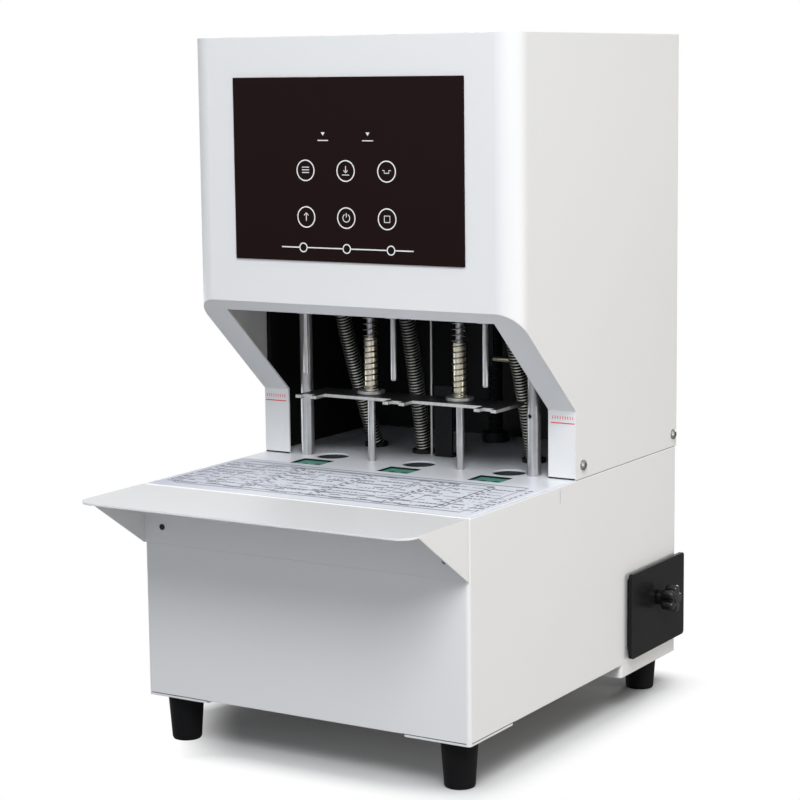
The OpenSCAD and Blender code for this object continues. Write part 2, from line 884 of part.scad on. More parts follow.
// least clear gap between stretches of the wire that aren't neighbours
function coil_gap(p, wire, skip = 5) =
  let (last = len(p) - 1)
  min([for (i = [0 : last - skip], j = [i + skip : min(i + 14, last)]) norm(p[i] - p[j])]) - wire;

// one unbroken wire along a coil
module wire_coil(a, b, r, wire, turns, name, steps = 8, sides = 6) {
  p = coil_path(a, b, r, wire, turns, steps);
  n = len(p);
  centre = function (i) a + (b - a) * (p[i][2] - a[2]) / (b[2] - a[2]);
  points = [for (i = [0 : n - 1]) each wire_ring(p, i, centre(i), wire / 2, sides)];
  walls = [for (i = [0 : n - 2], k = [0 : sides - 1])
    let (m = (k + 1) % sides, low = i * sides, high = low + sides)
    each [[low + k, high + k, high + m], [low + k, high + m, low + m]]];
  foot = [for (k = [1 : sides - 2]) [0, k, k + 1]];
  top = [for (k = [1 : sides - 2]) [(n - 1) * sides, (n - 1) * sides + k + 1, (n - 1) * sides + k]];
  echo(str(name, " least gap ", coil_gap(p, wire), " mm"));
  polyhedron(points, concat(walls, foot, top));
}

module press_spring(x, name) {
  steps = 12;
  r = (sleeve_d / 2 + gap + press_wire / 2) / cos(180 / steps);
  color("silver") wire_coil(
    [x, post_y, z_sleeve + gap], [x, post_y, z_car - gap], r, press_wire, press_turns, name, steps);
}

module chip_hose(i, name) {
  foot = hose_feet[i];
  top = hose_tops[i];
  color("silver") wire_coil(
    [foot[0], foot[1], hose_low], [top[0], top[1], hose_high],
    (hose_d - hose_wire) / 2, hose_wire, hose_turns, name);
}

module hose_ports() {
  color("#303236") for (p = hose_feet)
    translate([p[0], p[1], 0]) tube(port_d, outlet_d, z_table, port_h);
}

// drill carriage

module carriage_plate() {
  color("#3a3c40") difference() {
    translate([0, car_front, z_car]) linear_extrude(carriage_t)
      rounded(car_w, car_back - car_front, 6);
    at_columns() bore(bush_d + 2 * snug, z_car, z_car_top);
    at_posts() bore(post_d + 2, z_car, z_car_top);
    at_bits() bore(nose_d + 2, z_car, z_car_top);
    translate([0, screw_y, 0]) bore(nut_d + 2 * snug, z_car, z_car_top);
    translate([rod_x, rod_y, 0]) bore(rod_d + 2, z_car, z_car_top);
    for (p = hose_tops) translate([p[0], p[1], 0]) bore(outlet_d, z_car, z_car_top);
  }
}

module sensor_flag() {
  color("#303236") translate([flag_x - flag_w / 2, flag_y - flag_t / 2, z_car - flag_drop])
    cube([flag_w, flag_t, flag_drop]);
  color("#d8b878") translate([flag_x, flag_y, z_car - flag_pin_drop]) rotate([0, 90, 0])
    cylinder(d = flag_pin_d, h = flag_w / 2 + flag_pin_l);
}

module slide_bushes() {
  color("goldenrod") at_columns() {
    tube(bush_d, col_d + 2 * run, z_car - bush_drop, bush_drop + carriage_t + bush_rise);
    tube(bush_flange, bush_d, z_car_top, bush_flange_t);
  }
}

module spindle_housings() {
  color("gray") at_bits() difference() {
    translate([0, 0, z_car_top]) cylinder(d = housing_d, h = housing_h);
    bore(bearing_d + 2 * snug, z_car_top, z_car_top + housing_h);
  }
}

module spindle_bearings() {
  color("silver") at_bits()
    for (z = [z_car_top + 2, z_car_top + housing_h - 2 - bearing_h])
      tube(bearing_d, spindle_d + 2 * run, z, bearing_h);
}

// profile of a flanged belt pulley, turned about z
module pulley_solid() {
  cylinder(d = pulley_d, h = pulley_h);
  for (z = [0, pulley_h - pulley_flange])
    translate([0, 0, z]) cylinder(d = pulley_d + 2 * belt_t + 2, h = pulley_flange);
}

module spindle(x) {
  z_nose = z_car - nose_drop;
  color("lightgray") translate([x, bit_y, 0]) difference() {
    union() {
      translate([0, 0, z_nose]) cylinder(d1 = nose_d - nose_edge, d2 = nose_d, h = nose_edge);
      translate([0, 0, z_nose + nose_edge]) cylinder(d = nose_d, h = z_car_top - z_nose - nose_edge);
      translate([0, 0, z_car_top]) cylinder(d = spindle_d, h = z_pulley + pulley_h + 4 - z_car_top);
      translate([0, 0, z_pulley]) pulley_solid();
    }
    bore(bit_d + 2 * snug, z_nose, z_car_top - 1);
    bore(bit_bore, z_car_top - 1, z_pulley + pulley_h + 4);
  }
}

module drill_bit(x) {
  edge = 0.5;
  color("lightgray") translate([x, bit_y, 0]) difference() {
    union() {
      translate([0, 0, z_tip]) cylinder(d1 = bit_d - 2 * edge, d2 = bit_d, h = 2 * edge);
      translate([0, 0, z_tip + 2 * edge]) cylinder(d = bit_d, h = z_car_top - 1 - z_tip - 2 * edge);
    }
    bore(bit_bore, z_tip, z_car_top);
  }
}

module drill_motor() {
  color("#2c2e33") translate([0, motor_y, 0]) difference() {
    union() {
      translate([0, 0, z_car_top]) cylinder(d = motor_d, h = motor_h);
      translate([0, 0, z_car_top + motor_h]) cylinder(d = motor_d * 0.4, h = 3);
    }
    bore(motor_shaft + 2 * run, z_car_top + motor_h - shaft_deep, z_car_top + motor_h + 3);
  }
}

module motor_pulley() {
  z_shaft = z_car_top + motor_h - shaft_deep + 2;
  color("lightgray") translate([0, motor_y, 0]) {
    translate([0, 0, z_pulley]) pulley_solid();
    translate([0, 0, z_shaft]) cylinder(d = motor_shaft, h = z_pulley - z_shaft);
  }
}

// loop round the outer pulleys and the motor pulley, r outside their axes
module belt_loop(r) {
  hull() {
    for (x = [bit_xs[0], bit_xs[2]]) translate([x, bit_y]) circle(r, $fn = 64);
    translate([0, motor_y]) circle(r, $fn = 64);
  }
}

module drive_belt() {
  color("#18181a") translate([0, 0, z_belt]) linear_extrude(belt_w) difference() {
    belt_loop(pulley_d / 2 + belt_gap + belt_t);
    belt_loop(pulley_d / 2 + belt_gap);
  }
}

// feed

module feed_screw() {
  color("#4a4c50") translate([0, screw_y, z_bed - screw_end])
    cylinder(d = screw_d, h = z_crown + crown_t - z_bed + screw_end);
}

module feed_nut() {
  color("goldenrod") translate([0, screw_y, 0]) {
    tube(nut_d, screw_d + 2 * run, z_car - 6, carriage_t + 6);
    tube(nut_flange, screw_d + 2 * run, z_car_top, 6);
  }
}

module screw_bearings() {
  color("gray") translate([0, screw_y, 0])
    for (z = [z_table, z_crown - block_h]) tube(block_d, screw_d + 2 * run, z, block_h);
}

module feed_motor() {
  w = 50;
  h = 50;
  color("#2c2e33") translate([0, screw_y, 0]) difference() {
    translate([-w / 2, -w / 2, z_bed - h]) cube([w, w, h]);
    translate([0, 0, z_bed - screw_end - 1]) cylinder(d = screw_d + 2 * gap, h = screw_end + 2);
  }
}

// chip drawer

module drawer_rails() {
  color("silver") for (s = [-1, 1])
    translate([box_x - drawer_l, drawer_y + s * (drawer_w / 2 - rail_w) - rail_w / 2, z_base + sheet])
      cube([drawer_l - rail_w, rail_w, rail_h]);
}

module knob_hole(d) {
  translate([box_x - 2 * sheet, drawer_y, knob_z]) rotate([0, 90, 0])
    cylinder(d = d, h = knob_x - box_x + 2 * sheet);
}

module chip_drawer() {
  color("#2a2b2e") difference() {
    translate([box_x - drawer_l, drawer_y - drawer_w / 2, z_drawer]) cube([drawer_l, drawer_w, drawer_h]);
    translate([box_x - drawer_l + sheet, drawer_y - drawer_w / 2 + sheet, z_drawer + sheet])
      cube([drawer_l - 2 * sheet, drawer_w - 2 * sheet, drawer_h]);
    knob_hole(stem_d + 2 * run);
  }
}

module drawer_front() {
  w = open_w + 2 * front_lap;
  h = open_h + 2 * front_lap;
  color("#202124") difference() {
    union() {
      translate([front_x, drawer_y, z_open - front_lap]) rotate([90, 0, 90]) linear_extrude(front_t)
        rounded(w, h, front_r);
      translate([box_x, drawer_y, knob_z]) rotate([0, 90, 0])
        cylinder(d = stem_d + 10, h = front_x + front_t / 2 - box_x);
    }
    knob_hole(stem_d + 2 * run);
  }
}

module star_knob() {
  clip = 2;
  stem_x = box_x - sheet - gap;
  color("#202124") translate([0, drawer_y, knob_z]) rotate([0, 90, 0]) {
    translate([0, 0, stem_x - clip]) cylinder(d = stem_d + 4, h = clip);
    translate([0, 0, stem_x]) cylinder(d = stem_d, h = knob_x - stem_x + knob_l / 2);
    translate([0, 0, knob_x - knob_stand + 1]) cylinder(d = stem_d + 4, h = knob_stand - 1);
    translate([0, 0, knob_x]) linear_extrude(knob_l) difference() {
      circle(d = knob_d);
      for (i = [0 : knob_lobes - 1])
        rotate(360 * (i + 0.5) / knob_lobes) translate([knob_d * 0.62, 0]) circle(d = knob_d * 0.42);
    }
  }
}

// electrics

module power_supply() {
  color("silver") translate([-base_w / 2 + foot_side + psu_gap, foot_front + psu_gap, z_base + sheet])
    cube([psu_w, psu_l, psu_h]);
}

module power_inlet() {
  rocker_h = 2 * rocker_r + 2 * gap;
  edge = inlet_lap + snug;
  color("#1a1a1c") difference() {
    union() {
      translate([inlet_x, base_d, inlet_z - inlet_h / 2]) rotate([90, 0, 180])
        linear_extrude(inlet_flange_t) rounded(inlet_w, inlet_h, 2);
      translate([inlet_x - inlet_w / 2 + edge, base_d - inlet_body_l, inlet_z - inlet_h / 2 + edge])
        cube([inlet_w - 2 * edge, inlet_body_l, inlet_h - 2 * edge]);
    }
    translate([inlet_x - plug_w / 2, base_d + inlet_flange_t - plug_l, inlet_z + plug_z - plug_h / 2])
      cube([plug_w, plug_l + 1, plug_h]);
    translate([inlet_x - rocker_w / 2, rocker_y, inlet_z + rocker_z]) rotate([0, 90, 0])
      cylinder(d = rocker_h, h = rocker_w);
    translate([inlet_x - rocker_w / 2, rocker_y, inlet_z + rocker_z - rocker_h / 2])
      cube([rocker_w, inlet_flange_t + 2, rocker_h]);
  }
  color("silver") for (p = [[-7, -2.5], [7, -2.5], [0, 2.5]])
    translate([inlet_x + p[0] - 1, base_d + inlet_flange_t - plug_l, inlet_z + plug_z + p[1] - 2])
      cube([2, plug_l - 3, 4]);
}

module rocker_switch() {
  r = rocker_r - 2 * gap;
  w = rocker_w - 2 * gap;
  back = -r * 0.6;
  color("#b02020") translate([inlet_x - w / 2, rocker_y, inlet_z + rocker_z]) rotate([rocker_tilt, 0, 0])
    intersection() {
      rotate([0, 90, 0]) cylinder(r = r + rocker_rise, h = w);
      rotate([90, 0, 90]) linear_extrude(w)
        polygon([[rocker_rise, r], [rocker_rise * 0.5, 0], [rocker_rise, -r], [back, back], [back, -back]]);
    }
}

placed() base_shell();
placed() base_floor();
placed() front_foot_plates();
placed() rear_foot_pan();
placed() rubber_feet();
placed() foot_bolts();
placed() table_plate();
placed() guide_sheet();
placed() bed_plate();
placed() pad_carriers();
placed() drill_pad(bit_xs[0]);  // drill_pad_left
placed() drill_pad(bit_xs[1]);  // drill_pad_middle
placed() drill_pad(bit_xs[2]);  // drill_pad_right
placed() front_tray();
placed() case_screws();
placed() head_wrap();
placed() head_lid();
placed() head_back();
placed() touch_panel();
placed() control_board();
placed() side_frames();
placed() back_frame();
placed() crown_plate();
placed() guide_columns();
placed() guide_posts();
placed() carriage_sensor();
placed() press_plate();
placed() press_collars();
placed() press_sleeves();
placed() press_spring(-post_x, "press_spring_left");  // press_spring_left
placed() press_spring(post_x, "press_spring_right");  // press_spring_right
placed() chip_hose(0, "chip_hose_left");  // chip_hose_left
placed() chip_hose(1, "chip_hose_middle");  // chip_hose_middle
placed() chip_hose(2, "chip_hose_right");  // chip_hose_right
placed() hose_ports();
placed() carriage_plate();
placed() sensor_flag();
placed() slide_bushes();
placed() spindle_housings();
placed() spindle_bearings();
placed() spindle(bit_xs[0]);  // spindle_left
placed() spindle(bit_xs[1]);  // spindle_middle
placed() spindle(bit_xs[2]);  // spindle_right
placed() drill_bit(bit_xs[0]);  // drill_bit_left
placed() drill_bit(bit_xs[1]);  // drill_bit_middle
placed() drill_bit(bit_xs[2]);  // drill_bit_right
placed() drill_motor();
placed() motor_pulley();
placed() drive_belt();
placed() feed_screw();
placed() feed_nut();
placed() screw_bearings();
placed() feed_motor();
placed() drawer_rails();
placed() chip_drawer();
placed() drawer_front();
placed() star_knob();
placed() power_supply();
placed() power_inlet();
placed() rocker_switch();
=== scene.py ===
# Thread binding machine: finishes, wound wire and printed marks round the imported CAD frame
import json
import math

import bmesh
import bpy
import numpy as np
from mathutils import Matrix, Vector


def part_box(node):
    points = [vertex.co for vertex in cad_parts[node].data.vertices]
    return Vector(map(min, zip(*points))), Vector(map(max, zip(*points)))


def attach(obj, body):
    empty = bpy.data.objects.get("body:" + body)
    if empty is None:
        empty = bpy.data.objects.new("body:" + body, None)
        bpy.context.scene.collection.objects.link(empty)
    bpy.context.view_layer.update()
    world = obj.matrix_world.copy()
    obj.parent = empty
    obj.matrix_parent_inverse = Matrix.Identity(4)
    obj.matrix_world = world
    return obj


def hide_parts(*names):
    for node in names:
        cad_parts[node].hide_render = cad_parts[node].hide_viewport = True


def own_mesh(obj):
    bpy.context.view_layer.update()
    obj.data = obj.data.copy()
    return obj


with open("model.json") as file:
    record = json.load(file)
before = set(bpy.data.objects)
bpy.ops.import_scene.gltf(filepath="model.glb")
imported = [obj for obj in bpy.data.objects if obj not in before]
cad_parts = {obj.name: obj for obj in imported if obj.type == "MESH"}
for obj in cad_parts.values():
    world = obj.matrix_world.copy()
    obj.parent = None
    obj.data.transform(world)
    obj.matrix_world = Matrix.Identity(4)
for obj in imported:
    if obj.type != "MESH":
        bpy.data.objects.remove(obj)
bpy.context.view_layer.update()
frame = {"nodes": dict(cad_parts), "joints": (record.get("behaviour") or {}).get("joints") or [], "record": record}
nodes = frame["nodes"]
print("frame loaded:", len(nodes), "nodes")

# Places: millimetres from the middle of the base's front wall, floor at 0

mm = 0.001
baseLow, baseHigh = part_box("base_shell")
origin = np.array([(baseLow.x + baseHigh.x) / 2, baseLow.y, 0.0])
# front face of the head's legs, and their inner edges to each side
legs = {"front": 161.0, "inner": 117.0}


def place(points):
    # machine millimetres to metres in the frame
    return np.asarray(points, float) * mm + origin


def spot(x, y, z):
    # one place as a plain tuple of metres
    return tuple(place((x, y, z)))


def reach(node):
    # a node's lowest and highest corner in machine millimetres
    low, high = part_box(node)
    return (np.array(low) - origin) / mm, (np.array(high) - origin) / mm


# Meshes: grids of points as whole arrays


def gridFaces(rows, cols, loopRows=False, loopCols=False):
    # a quad between each point and its neighbours in the next row and column
    i, j = np.meshgrid(np.arange(rows - (not loopRows)), np.arange(cols - (not loopCols)), indexing="ij")
    nextRow, nextCol = (i + 1) % rows, (j + 1) % cols
    quads = [i * cols + j, i * cols + nextCol, nextRow * cols + nextCol, nextRow * cols + j]
    return np.stack(quads, -1).reshape(-1, 4)


def capFaces(rows, cols):
    # one face over the first row of a tube and one over its last
    return [np.arange(cols), np.arange((rows - 1) * cols, rows * cols)]


def unit(v):
    # vectors over their own length
    return v / np.maximum(np.linalg.norm(v, axis=-1, keepdims=True), 1e-12)


def carry(path, profile, side, closed=False):
    # profile (k, 2) carried along path (n, 3): x towards side, y square to side and path
    path, profile = np.asarray(path, float), np.asarray(profile, float)
    if closed:
        ahead = unit(np.roll(path, -1, 0) - np.roll(path, 1, 0))
    else:
        ahead = unit(np.gradient(path, axis=0))
    side = np.broadcast_to(np.asarray(side, float), path.shape)
    out = unit(side - (side * ahead).sum(-1, keepdims=True) * ahead)
    across = np.cross(ahead, out)
    points = path[:, None] + profile[:, 0, None] * out[:, None] + profile[:, 1, None] * across[:, None]
    rows, cols = points.shape[:2]
    caps = [] if closed else capFaces(rows, cols)
    return points.reshape(-1, 3), gridFaces(rows, cols, closed, True), caps


def circle(radius, count):
    # points round a circle, as x and y
    a = np.arange(count) * 2 * np.pi / count
    return np.stack([np.cos(a), np.sin(a)], -1) * radius


def bar(width, height):
    # corners of a flat bar's section, centred
    return np.array([(-1, -1), (1, -1), (1, 1), (-1, 1)]) * (width / 2, height / 2)


def makePiece(name, parts, finish, body, creaseDeg=35):
    # parts are (points in machine millimetres, quads, caps), put into one mesh with faces turned outwards
    points, faces, start = [], [], 0
    for partPoints, quads, caps in parts:
        points.append(place(partPoints))
        faces += (quads + start).tolist() + [(cap + start).tolist() for cap in caps]
        start += len(partPoints)
    mesh = bpy.data.meshes.new(name)
    mesh.from_pydata(np.concatenate(points).tolist(), [], faces)
    shape = bmesh.new()
    shape.from_mesh(mesh)
    bmesh.ops.recalc_face_normals(shape, faces=shape.faces)
    shape.to_mesh(mesh)
    shape.free()
    mesh.polygons.foreach_set("use_smooth", np.ones(len(mesh.polygons), bool))
    mesh.set_sharp_from_angle(angle=math.radians(creaseDeg))
    mesh.materials.append(finish)
    piece = bpy.data.objects.new(name, mesh)
    bpy.context.scene.collection.objects.link(piece)
    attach(piece, body)
    return piece


# Shading: sockets that add, multiply and compare as Python numbers do

softEdge = {"paint": 0.0006, "metal": 0.0003, "samples": 4, "gain": 5.0}


class Shade:
    # one output socket in a finish's tree
    def __init__(self, finish, socket):
        self.finish, self.socket = finish, socket

    def math(self, operation, *others):
        # the operation over sockets and numbers in the order given
        return self.finish.node("ShaderNodeMath", {"operation": operation}, dict(enumerate(others)))

    def __add__(self, other):
        return self.math("ADD", self, other)

    def __radd__(self, other):
        return self.math("ADD", other, self)

    def __sub__(self, other):
        return self.math("SUBTRACT", self, other)

    def __rsub__(self, other):
        return self.math("SUBTRACT", other, self)

    def __mul__(self, other):
        return self.math("MULTIPLY", self, other)

    def __rmul__(self, other):
        return self.math("MULTIPLY", other, self)

    def __truediv__(self, other):
        return self.math("DIVIDE", self, other)

    def __rtruediv__(self, other):
        return self.math("DIVIDE", other, self)

    def __pow__(self, other):
        return self.math("POWER", self, other)

    def __rpow__(self, other):
        return self.math("POWER", other, self)

    def __gt__(self, other):
        return self.math("GREATER_THAN", self, other)

    def __lt__(self, other):
        return self.math("LESS_THAN", self, other)

    def __abs__(self):
        return self.math("ABSOLUTE", self)

    def most(self, other):
        # the larger of the two
        return self.math("MAXIMUM", self, other)

    def least(self, other):
        # the smaller of the two
        return self.math("MINIMUM", self, other)

    def wrap(self, length):
        # what is left over whole lengths, from 0 up to length
        return self.math("FLOORED_MODULO", self, length)


class Finish:
    # a material or world whose tree starts empty
    def __init__(self, name, holder=None):
        self.holder = holder or bpy.data.materials.new(name)
        self.holder.use_nodes = True
        self.tree = self.holder.node_tree
        self.tree.nodes.clear()

    def node(self, kind, settings=None, inputs=None, output=0):
        # one node: settings are set on it, sockets are linked and numbers are set on their inputs
        made = self.tree.nodes.new(kind)
        for key, value in (settings or {}).items():
            if key == "stops":
                ramp = made.color_ramp.elements
                while len(ramp) < len(value):
                    ramp.new(0.5)
                for stop, (at, tone) in zip(ramp, value):
                    stop.position, stop.color = at, (*tone, 1.0)
            else:
                setattr(made, key, value)
        for key, value in (inputs or {}).items():
            if isinstance(value, Shade):
                self.tree.links.new(value.socket, made.inputs[key])
            else:
                made.inputs[key].default_value = value
        return Shade(self, made.outputs[output]) if made.outputs else None

    def coords(self, stretch=(1, 1, 1)):
        # frame coordinates in metres, stretched along each axis
        at = self.node("ShaderNodeTexCoord", output="Object")
        return self.node("ShaderNodeVectorMath", {"operation": "MULTIPLY"}, {0: at, 1: stretch})

    def axes(self):
        # machine millimetres along x, y and z
        at = self.node("ShaderNodeTexCoord", output="Object")
        moved = self.node("ShaderNodeVectorMath", {"operation": "SUBTRACT"}, {0: at, 1: tuple(origin)})
        grown = self.node("ShaderNodeVectorMath", {"operation": "SCALE"}, {0: moved, "Scale": 1 / mm})
        return [self.node("ShaderNodeSeparateXYZ", None, {0: grown}, k) for k in range(3)]

    def grain(self, size, detail=2.0, stretch=(1, 1, 1), roughness=0.5):
        # noise from 0 to 1 whose patches are about size metres across
        return self.node("ShaderNodeTexNoise", None, {
            "Vector": self.coords(stretch), "Scale": 1 / size, "Detail": detail, "Roughness": roughness})

    def ramp(self, value, *stops):
        # tones that run evenly from stop to stop
        return self.node("ShaderNodeValToRGB", {"stops": stops}, {0: value})

    def rise(self, value, low, high):
        # 0 up to low, 1 from high on and even between them
        return self.ramp(value, (low, (0, 0, 0)), (high, (1, 1, 1)))

    def blend(self, share, first, second):
        # first where share is 0, second where it is 1
        first, second = (v if isinstance(v, Shade) else (*v, 1.0) for v in (first, second))
        return self.node("ShaderNodeMix", {"data_type": "RGBA"}, {0: share, 6: first, 7: second}, 2)

    def rounded(self, radius):
        # normal that runs softly over edges
        return self.node("ShaderNodeBevel", {"samples": softEdge["samples"]}, {"Radius": radius})

    def edges(self, soft):
        # 0 on flat places, up to 1 on edges: how far the soft normal leans from the true one
        true = self.node("ShaderNodeNewGeometry", output="Normal")
        lean = self.node("ShaderNodeVectorMath", {"operation": "DOT_PRODUCT"}, {0: soft, 1: true}, "Value")
        return ((1 - lean) * softEdge["gain"]).least(1.0)

    def bump(self, height, distance, strength=1.0, normal=None):
        # normal tilted by the slope of the height, whose full range is distance metres
        inputs = {"Height": height, "Distance": distance, "Strength": strength}
        if normal:
            inputs["Normal"] = normal
        return self.node("ShaderNodeBump", None, inputs)

    def coat(self, color, roughness, normal=None, **fixed):
        # principled surface; fixed sockets are named with _ for each space
        inputs = {"Base Color": color, "Roughness": roughness}
        if normal:
            inputs["Normal"] = normal
        inputs.update({key.replace("_", " "): value for key, value in fixed.items()})
        skin = self.node("ShaderNodeBsdfPrincipled", None, inputs)
        self.node("ShaderNodeOutputMaterial", None, {"Surface": skin})
        return self.holder


# Finishes

powderCoat = {
    "tone": ((0.775, 0.779, 0.787), (0.800, 0.803, 0.808)),
    "edge": (0.86, 0.86, 0.865),
    "patch": 0.12, "peel": 0.0011, "peelDepth": 0.00003, "edgeRadius": 0.0007, "edgeHighlightShare": 0.7,
    "roughness": (0.33, 0.41), "mottle": 0.004,
}


def powderWhite():
    # white powder coat: slow patches of tone, fine peel in the surface, edges painted a little paler as a
    # highlight
    f = Finish("powder_white")
    s = powderCoat
    soft = f.rounded(s["edgeRadius"])
    peel = f.grain(s["peel"])
    color = f.blend(f.grain(s["patch"], detail=3), *s["tone"])
    # painted highlight: the edges are paler
    color = f.blend(f.edges(soft) * s["edgeHighlightShare"], color, s["edge"])
    low, high = s["roughness"]
    roughness = low + (high - low) * f.grain(s["mottle"], detail=3)
    normal = f.bump(peel, s["peelDepth"], strength=0.5, normal=soft)
    return f.coat(color, roughness, normal, Specular_IOR_Level=0.22)


darkSkin = {"patch": 0.03, "lift": 1.35, "least": 0.001, "edgeHighlightShare": 0.6, "swing": 0.12}


def darkCoat(name, tone, edge, roughness, grainSize, depth=0.00002, level=0.35):
    # black or dark painted, oxidised or moulded surface: faint patches, edges painted paler as a highlight, fine
    # grain
    f = Finish(name)
    s = darkSkin
    soft = f.rounded(softEdge["paint"])
    fine = f.grain(grainSize, detail=3)
    patch = f.grain(s["patch"], detail=4, roughness=0.6)
    color = f.blend(patch, tone, tuple(s["lift"] * v + s["least"] for v in tone))
    # painted highlight: the edges are paler
    color = f.blend(f.edges(soft) * s["edgeHighlightShare"], color, edge)
    roughness = roughness - s["swing"] / 2 + s["swing"] * patch
    normal = f.bump(fine, depth, strength=0.6, normal=soft)
    return f.coat(color, roughness, normal, Specular_IOR_Level=level)


metalSkin = {"cloud": 0.012, "lineShare": 0.75, "from": 0.32, "to": 0.68, "swing": 0.14,
             "edgeHighlightShare": 0.5, "edgeHighlightLift": 1.15, "depth": 0.000012}


def brushed(name, tone, roughness, stretch, lineSize=0.0009, shade=0.86, metal=1.0):
    # bare metal with drawn or turned lines: noise that is drawn out along the lines, over slow clouds; edges
    # painted paler as a highlight
    f = Finish(name)
    s = metalSkin
    soft = f.rounded(softEdge["metal"])
    lines = f.grain(lineSize, detail=4, stretch=stretch, roughness=0.65)
    mixed = lines * s["lineShare"] + f.grain(s["cloud"], detail=3) * (1 - s["lineShare"])
    color = f.blend(f.rise(mixed, s["from"], s["to"]), tuple(v * shade for v in tone), tone)
    # painted highlight: the edges are paler
    color = f.blend(f.edges(soft) * s["edgeHighlightShare"], color, tuple(min(1.0, v * s["edgeHighlightLift"]) for v in tone))
    roughness = roughness - s["swing"] / 2 + s["swing"] * lines
    return f.coat(color, roughness, f.bump(lines, s["depth"], strength=0.5, normal=soft), Metallic=metal)


mixedSkin = {"line": 0.0009, "coatLift": 1.6, "bareShade": 0.6, "swing": 0.12, "depth": 0.00001}


def mixedMetal(name, where, coated, bare, roughness):
    # dark coat where the test of place gives 0, bare drawn metal where it gives 1
    f = Finish(name)
    s = mixedSkin
    share = where(*f.axes())
    soft = f.rounded(softEdge["metal"])
    lines = f.grain(s["line"], detail=3, stretch=drawn)
    darkSide = f.blend(lines, coated, tuple(s["coatLift"] * v for v in coated))
    bareSide = f.blend(lines, tuple(s["bareShade"] * v for v in bare), bare)
    normal = f.bump(lines, s["depth"], strength=0.5, normal=soft)
    return f.coat(f.blend(share, darkSide, bareSide), roughness + s["swing"] * lines, normal, Metallic=share,
                  Specular_IOR_Level=0.12)


# stretch of the noise for lines round an upright axis, along it, and across the machine
turned = (0.06, 0.06, 1.0)
drawn = (1.0, 1.0, 0.03)
ground = (0.04, 1.0, 1.0)

drillMarks = {"pitch": 80.0, "padY": 137.5, "circle": 5.5, "turns": (-90, -10, -165), "radius": 2.7,
              "tone": (0.012, 0.030, 0.025), "share": 0.85}
padSkin = {"tone": ((0.085, 0.29, 0.22), (0.115, 0.36, 0.275)), "saw": 0.0012, "sawDepth": 0.00005,
           "roughness": 0.5, "swing": 0.12,
           "scuff": 0.005, "scuffFrom": 0.55, "scuffTo": 0.75, "scuffShare": 0.2,
           "scuffTone": (0.35, 0.55, 0.48)}


def padNylon():
    # cut nylon: fine saw lines, a few pale scuffs, round drill marks that each turn of the pad has left
    f = Finish("pad_nylon")
    s, skin = drillMarks, padSkin
    x, y, z = f.axes()
    fromMiddle = (x + s["pitch"] / 2).wrap(s["pitch"]) - s["pitch"] / 2
    saw = f.grain(skin["saw"], detail=3, stretch=(0.1, 1.0, 1.0))
    scuff = f.rise(f.grain(skin["scuff"], detail=4), skin["scuffFrom"], skin["scuffTo"])
    color = f.blend(saw, *skin["tone"])
    color = f.blend(scuff * skin["scuffShare"], color, skin["scuffTone"])
    for turn in map(math.radians, s["turns"]):
        across = fromMiddle - s["circle"] * math.cos(turn)
        along = y - (s["padY"] + s["circle"] * math.sin(turn))
        cut = (across * across + along * along) < s["radius"] ** 2
        color = f.blend(cut * s["share"], color, s["tone"])
    roughness = skin["roughness"] + skin["swing"] * saw
    return f.coat(color, roughness, f.bump(saw, skin["sawDepth"], strength=0.5), Specular_IOR_Level=0.35)


overlay = {"tone": ((0.0142, 0.0068, 0.0068), (0.0152, 0.0074, 0.0074)), "cloud": 0.06,
           "roughness": 0.24, "swing": 0.05,
           "dust": 0.0009, "dustFrom": 0.68, "dustTo": 0.80, "dustShare": 0.03,
           "dustTone": (0.10, 0.09, 0.09)}


def touchBlack():
    # smooth black overlay, with the faintest dust
    f = Finish("touch_black")
    s = overlay
    dust = f.rise(f.grain(s["dust"]), s["dustFrom"], s["dustTo"])
    cloud = f.grain(s["cloud"], detail=3)
    color = f.blend(cloud, *s["tone"])
    color = f.blend(dust * s["dustShare"], color, s["dustTone"])
    return f.coat(color, s["roughness"] + s["swing"] * cloud, Specular_IOR_Level=0.03)


board = {"mask": (0.012, 0.12, 0.05), "copper": (0.03, 0.24, 0.09), "stepX": 5.0, "stepZ": 7.0, "run": 0.7,
         "patch": 0.02, "above": 0.5, "runHigh": 0.00004, "roughness": 0.42, "swing": 0.1, "mottle": 0.003}


def boardGreen():
    # circuit board: mask with a grid of copper runs, left out in patches
    f = Finish("board_green")
    s = board
    x, y, z = f.axes()
    grid = (x.wrap(s["stepX"]) < s["run"]).most(z.wrap(s["stepZ"]) < s["run"])
    runs = grid * (f.grain(s["patch"]) > s["above"])
    color = f.blend(runs, s["mask"], s["copper"])
    roughness = s["roughness"] + s["swing"] * f.grain(s["mottle"])
    return f.coat(color, roughness, f.bump(runs, s["runHigh"]), Specular_IOR_Level=0.5)


guidePrint = {
    "paper": ((0.86, 0.885, 0.955), (0.90, 0.92, 0.985)),
    "ink": (0.075, 0.08, 0.135), "paleInk": (0.33, 0.35, 0.45),
    "line": 0.55, "thin": 0.4, "front": 19.0, "back": 108.0, "side": 133.0,
    "edgeIn": 1.0, "edgeHalf": 0.8,
    # half width, middle and half depth
    "pages": ((124, 66, 50), (99, 66, 44), (72, 72, 36), (40, 80, 27)),
    "ladders": (-66.0, -5.0, 58.0, 101.0), "ladderStep": 8.0, "square": (0.9, 3.2), "ladderIn": 4.0,
    "rowStep": 9.5, "rowHigh": 2.6, "rowsAbove": 0.56, "paleBelow": 0.47,
    "wordStep": 3.3, "letter": 0.58, "wordAt": 0.55, "wordHigh": 0.6, "wordsAbove": 0.57,
    "breaks": 0.013, "wordPatch": 0.018, "patch": 0.05, "wave": 0.03, "waveHigh": 0.00008,
    "roughness": 0.45, "swing": 0.1, "tintFrom": -30.0, "tintTo": -130.0, "tint": 0.5, "thicker": 0.08,
    "strength": {"pale": 0.7, "pages": 0.6, "marks": 0.82},
}


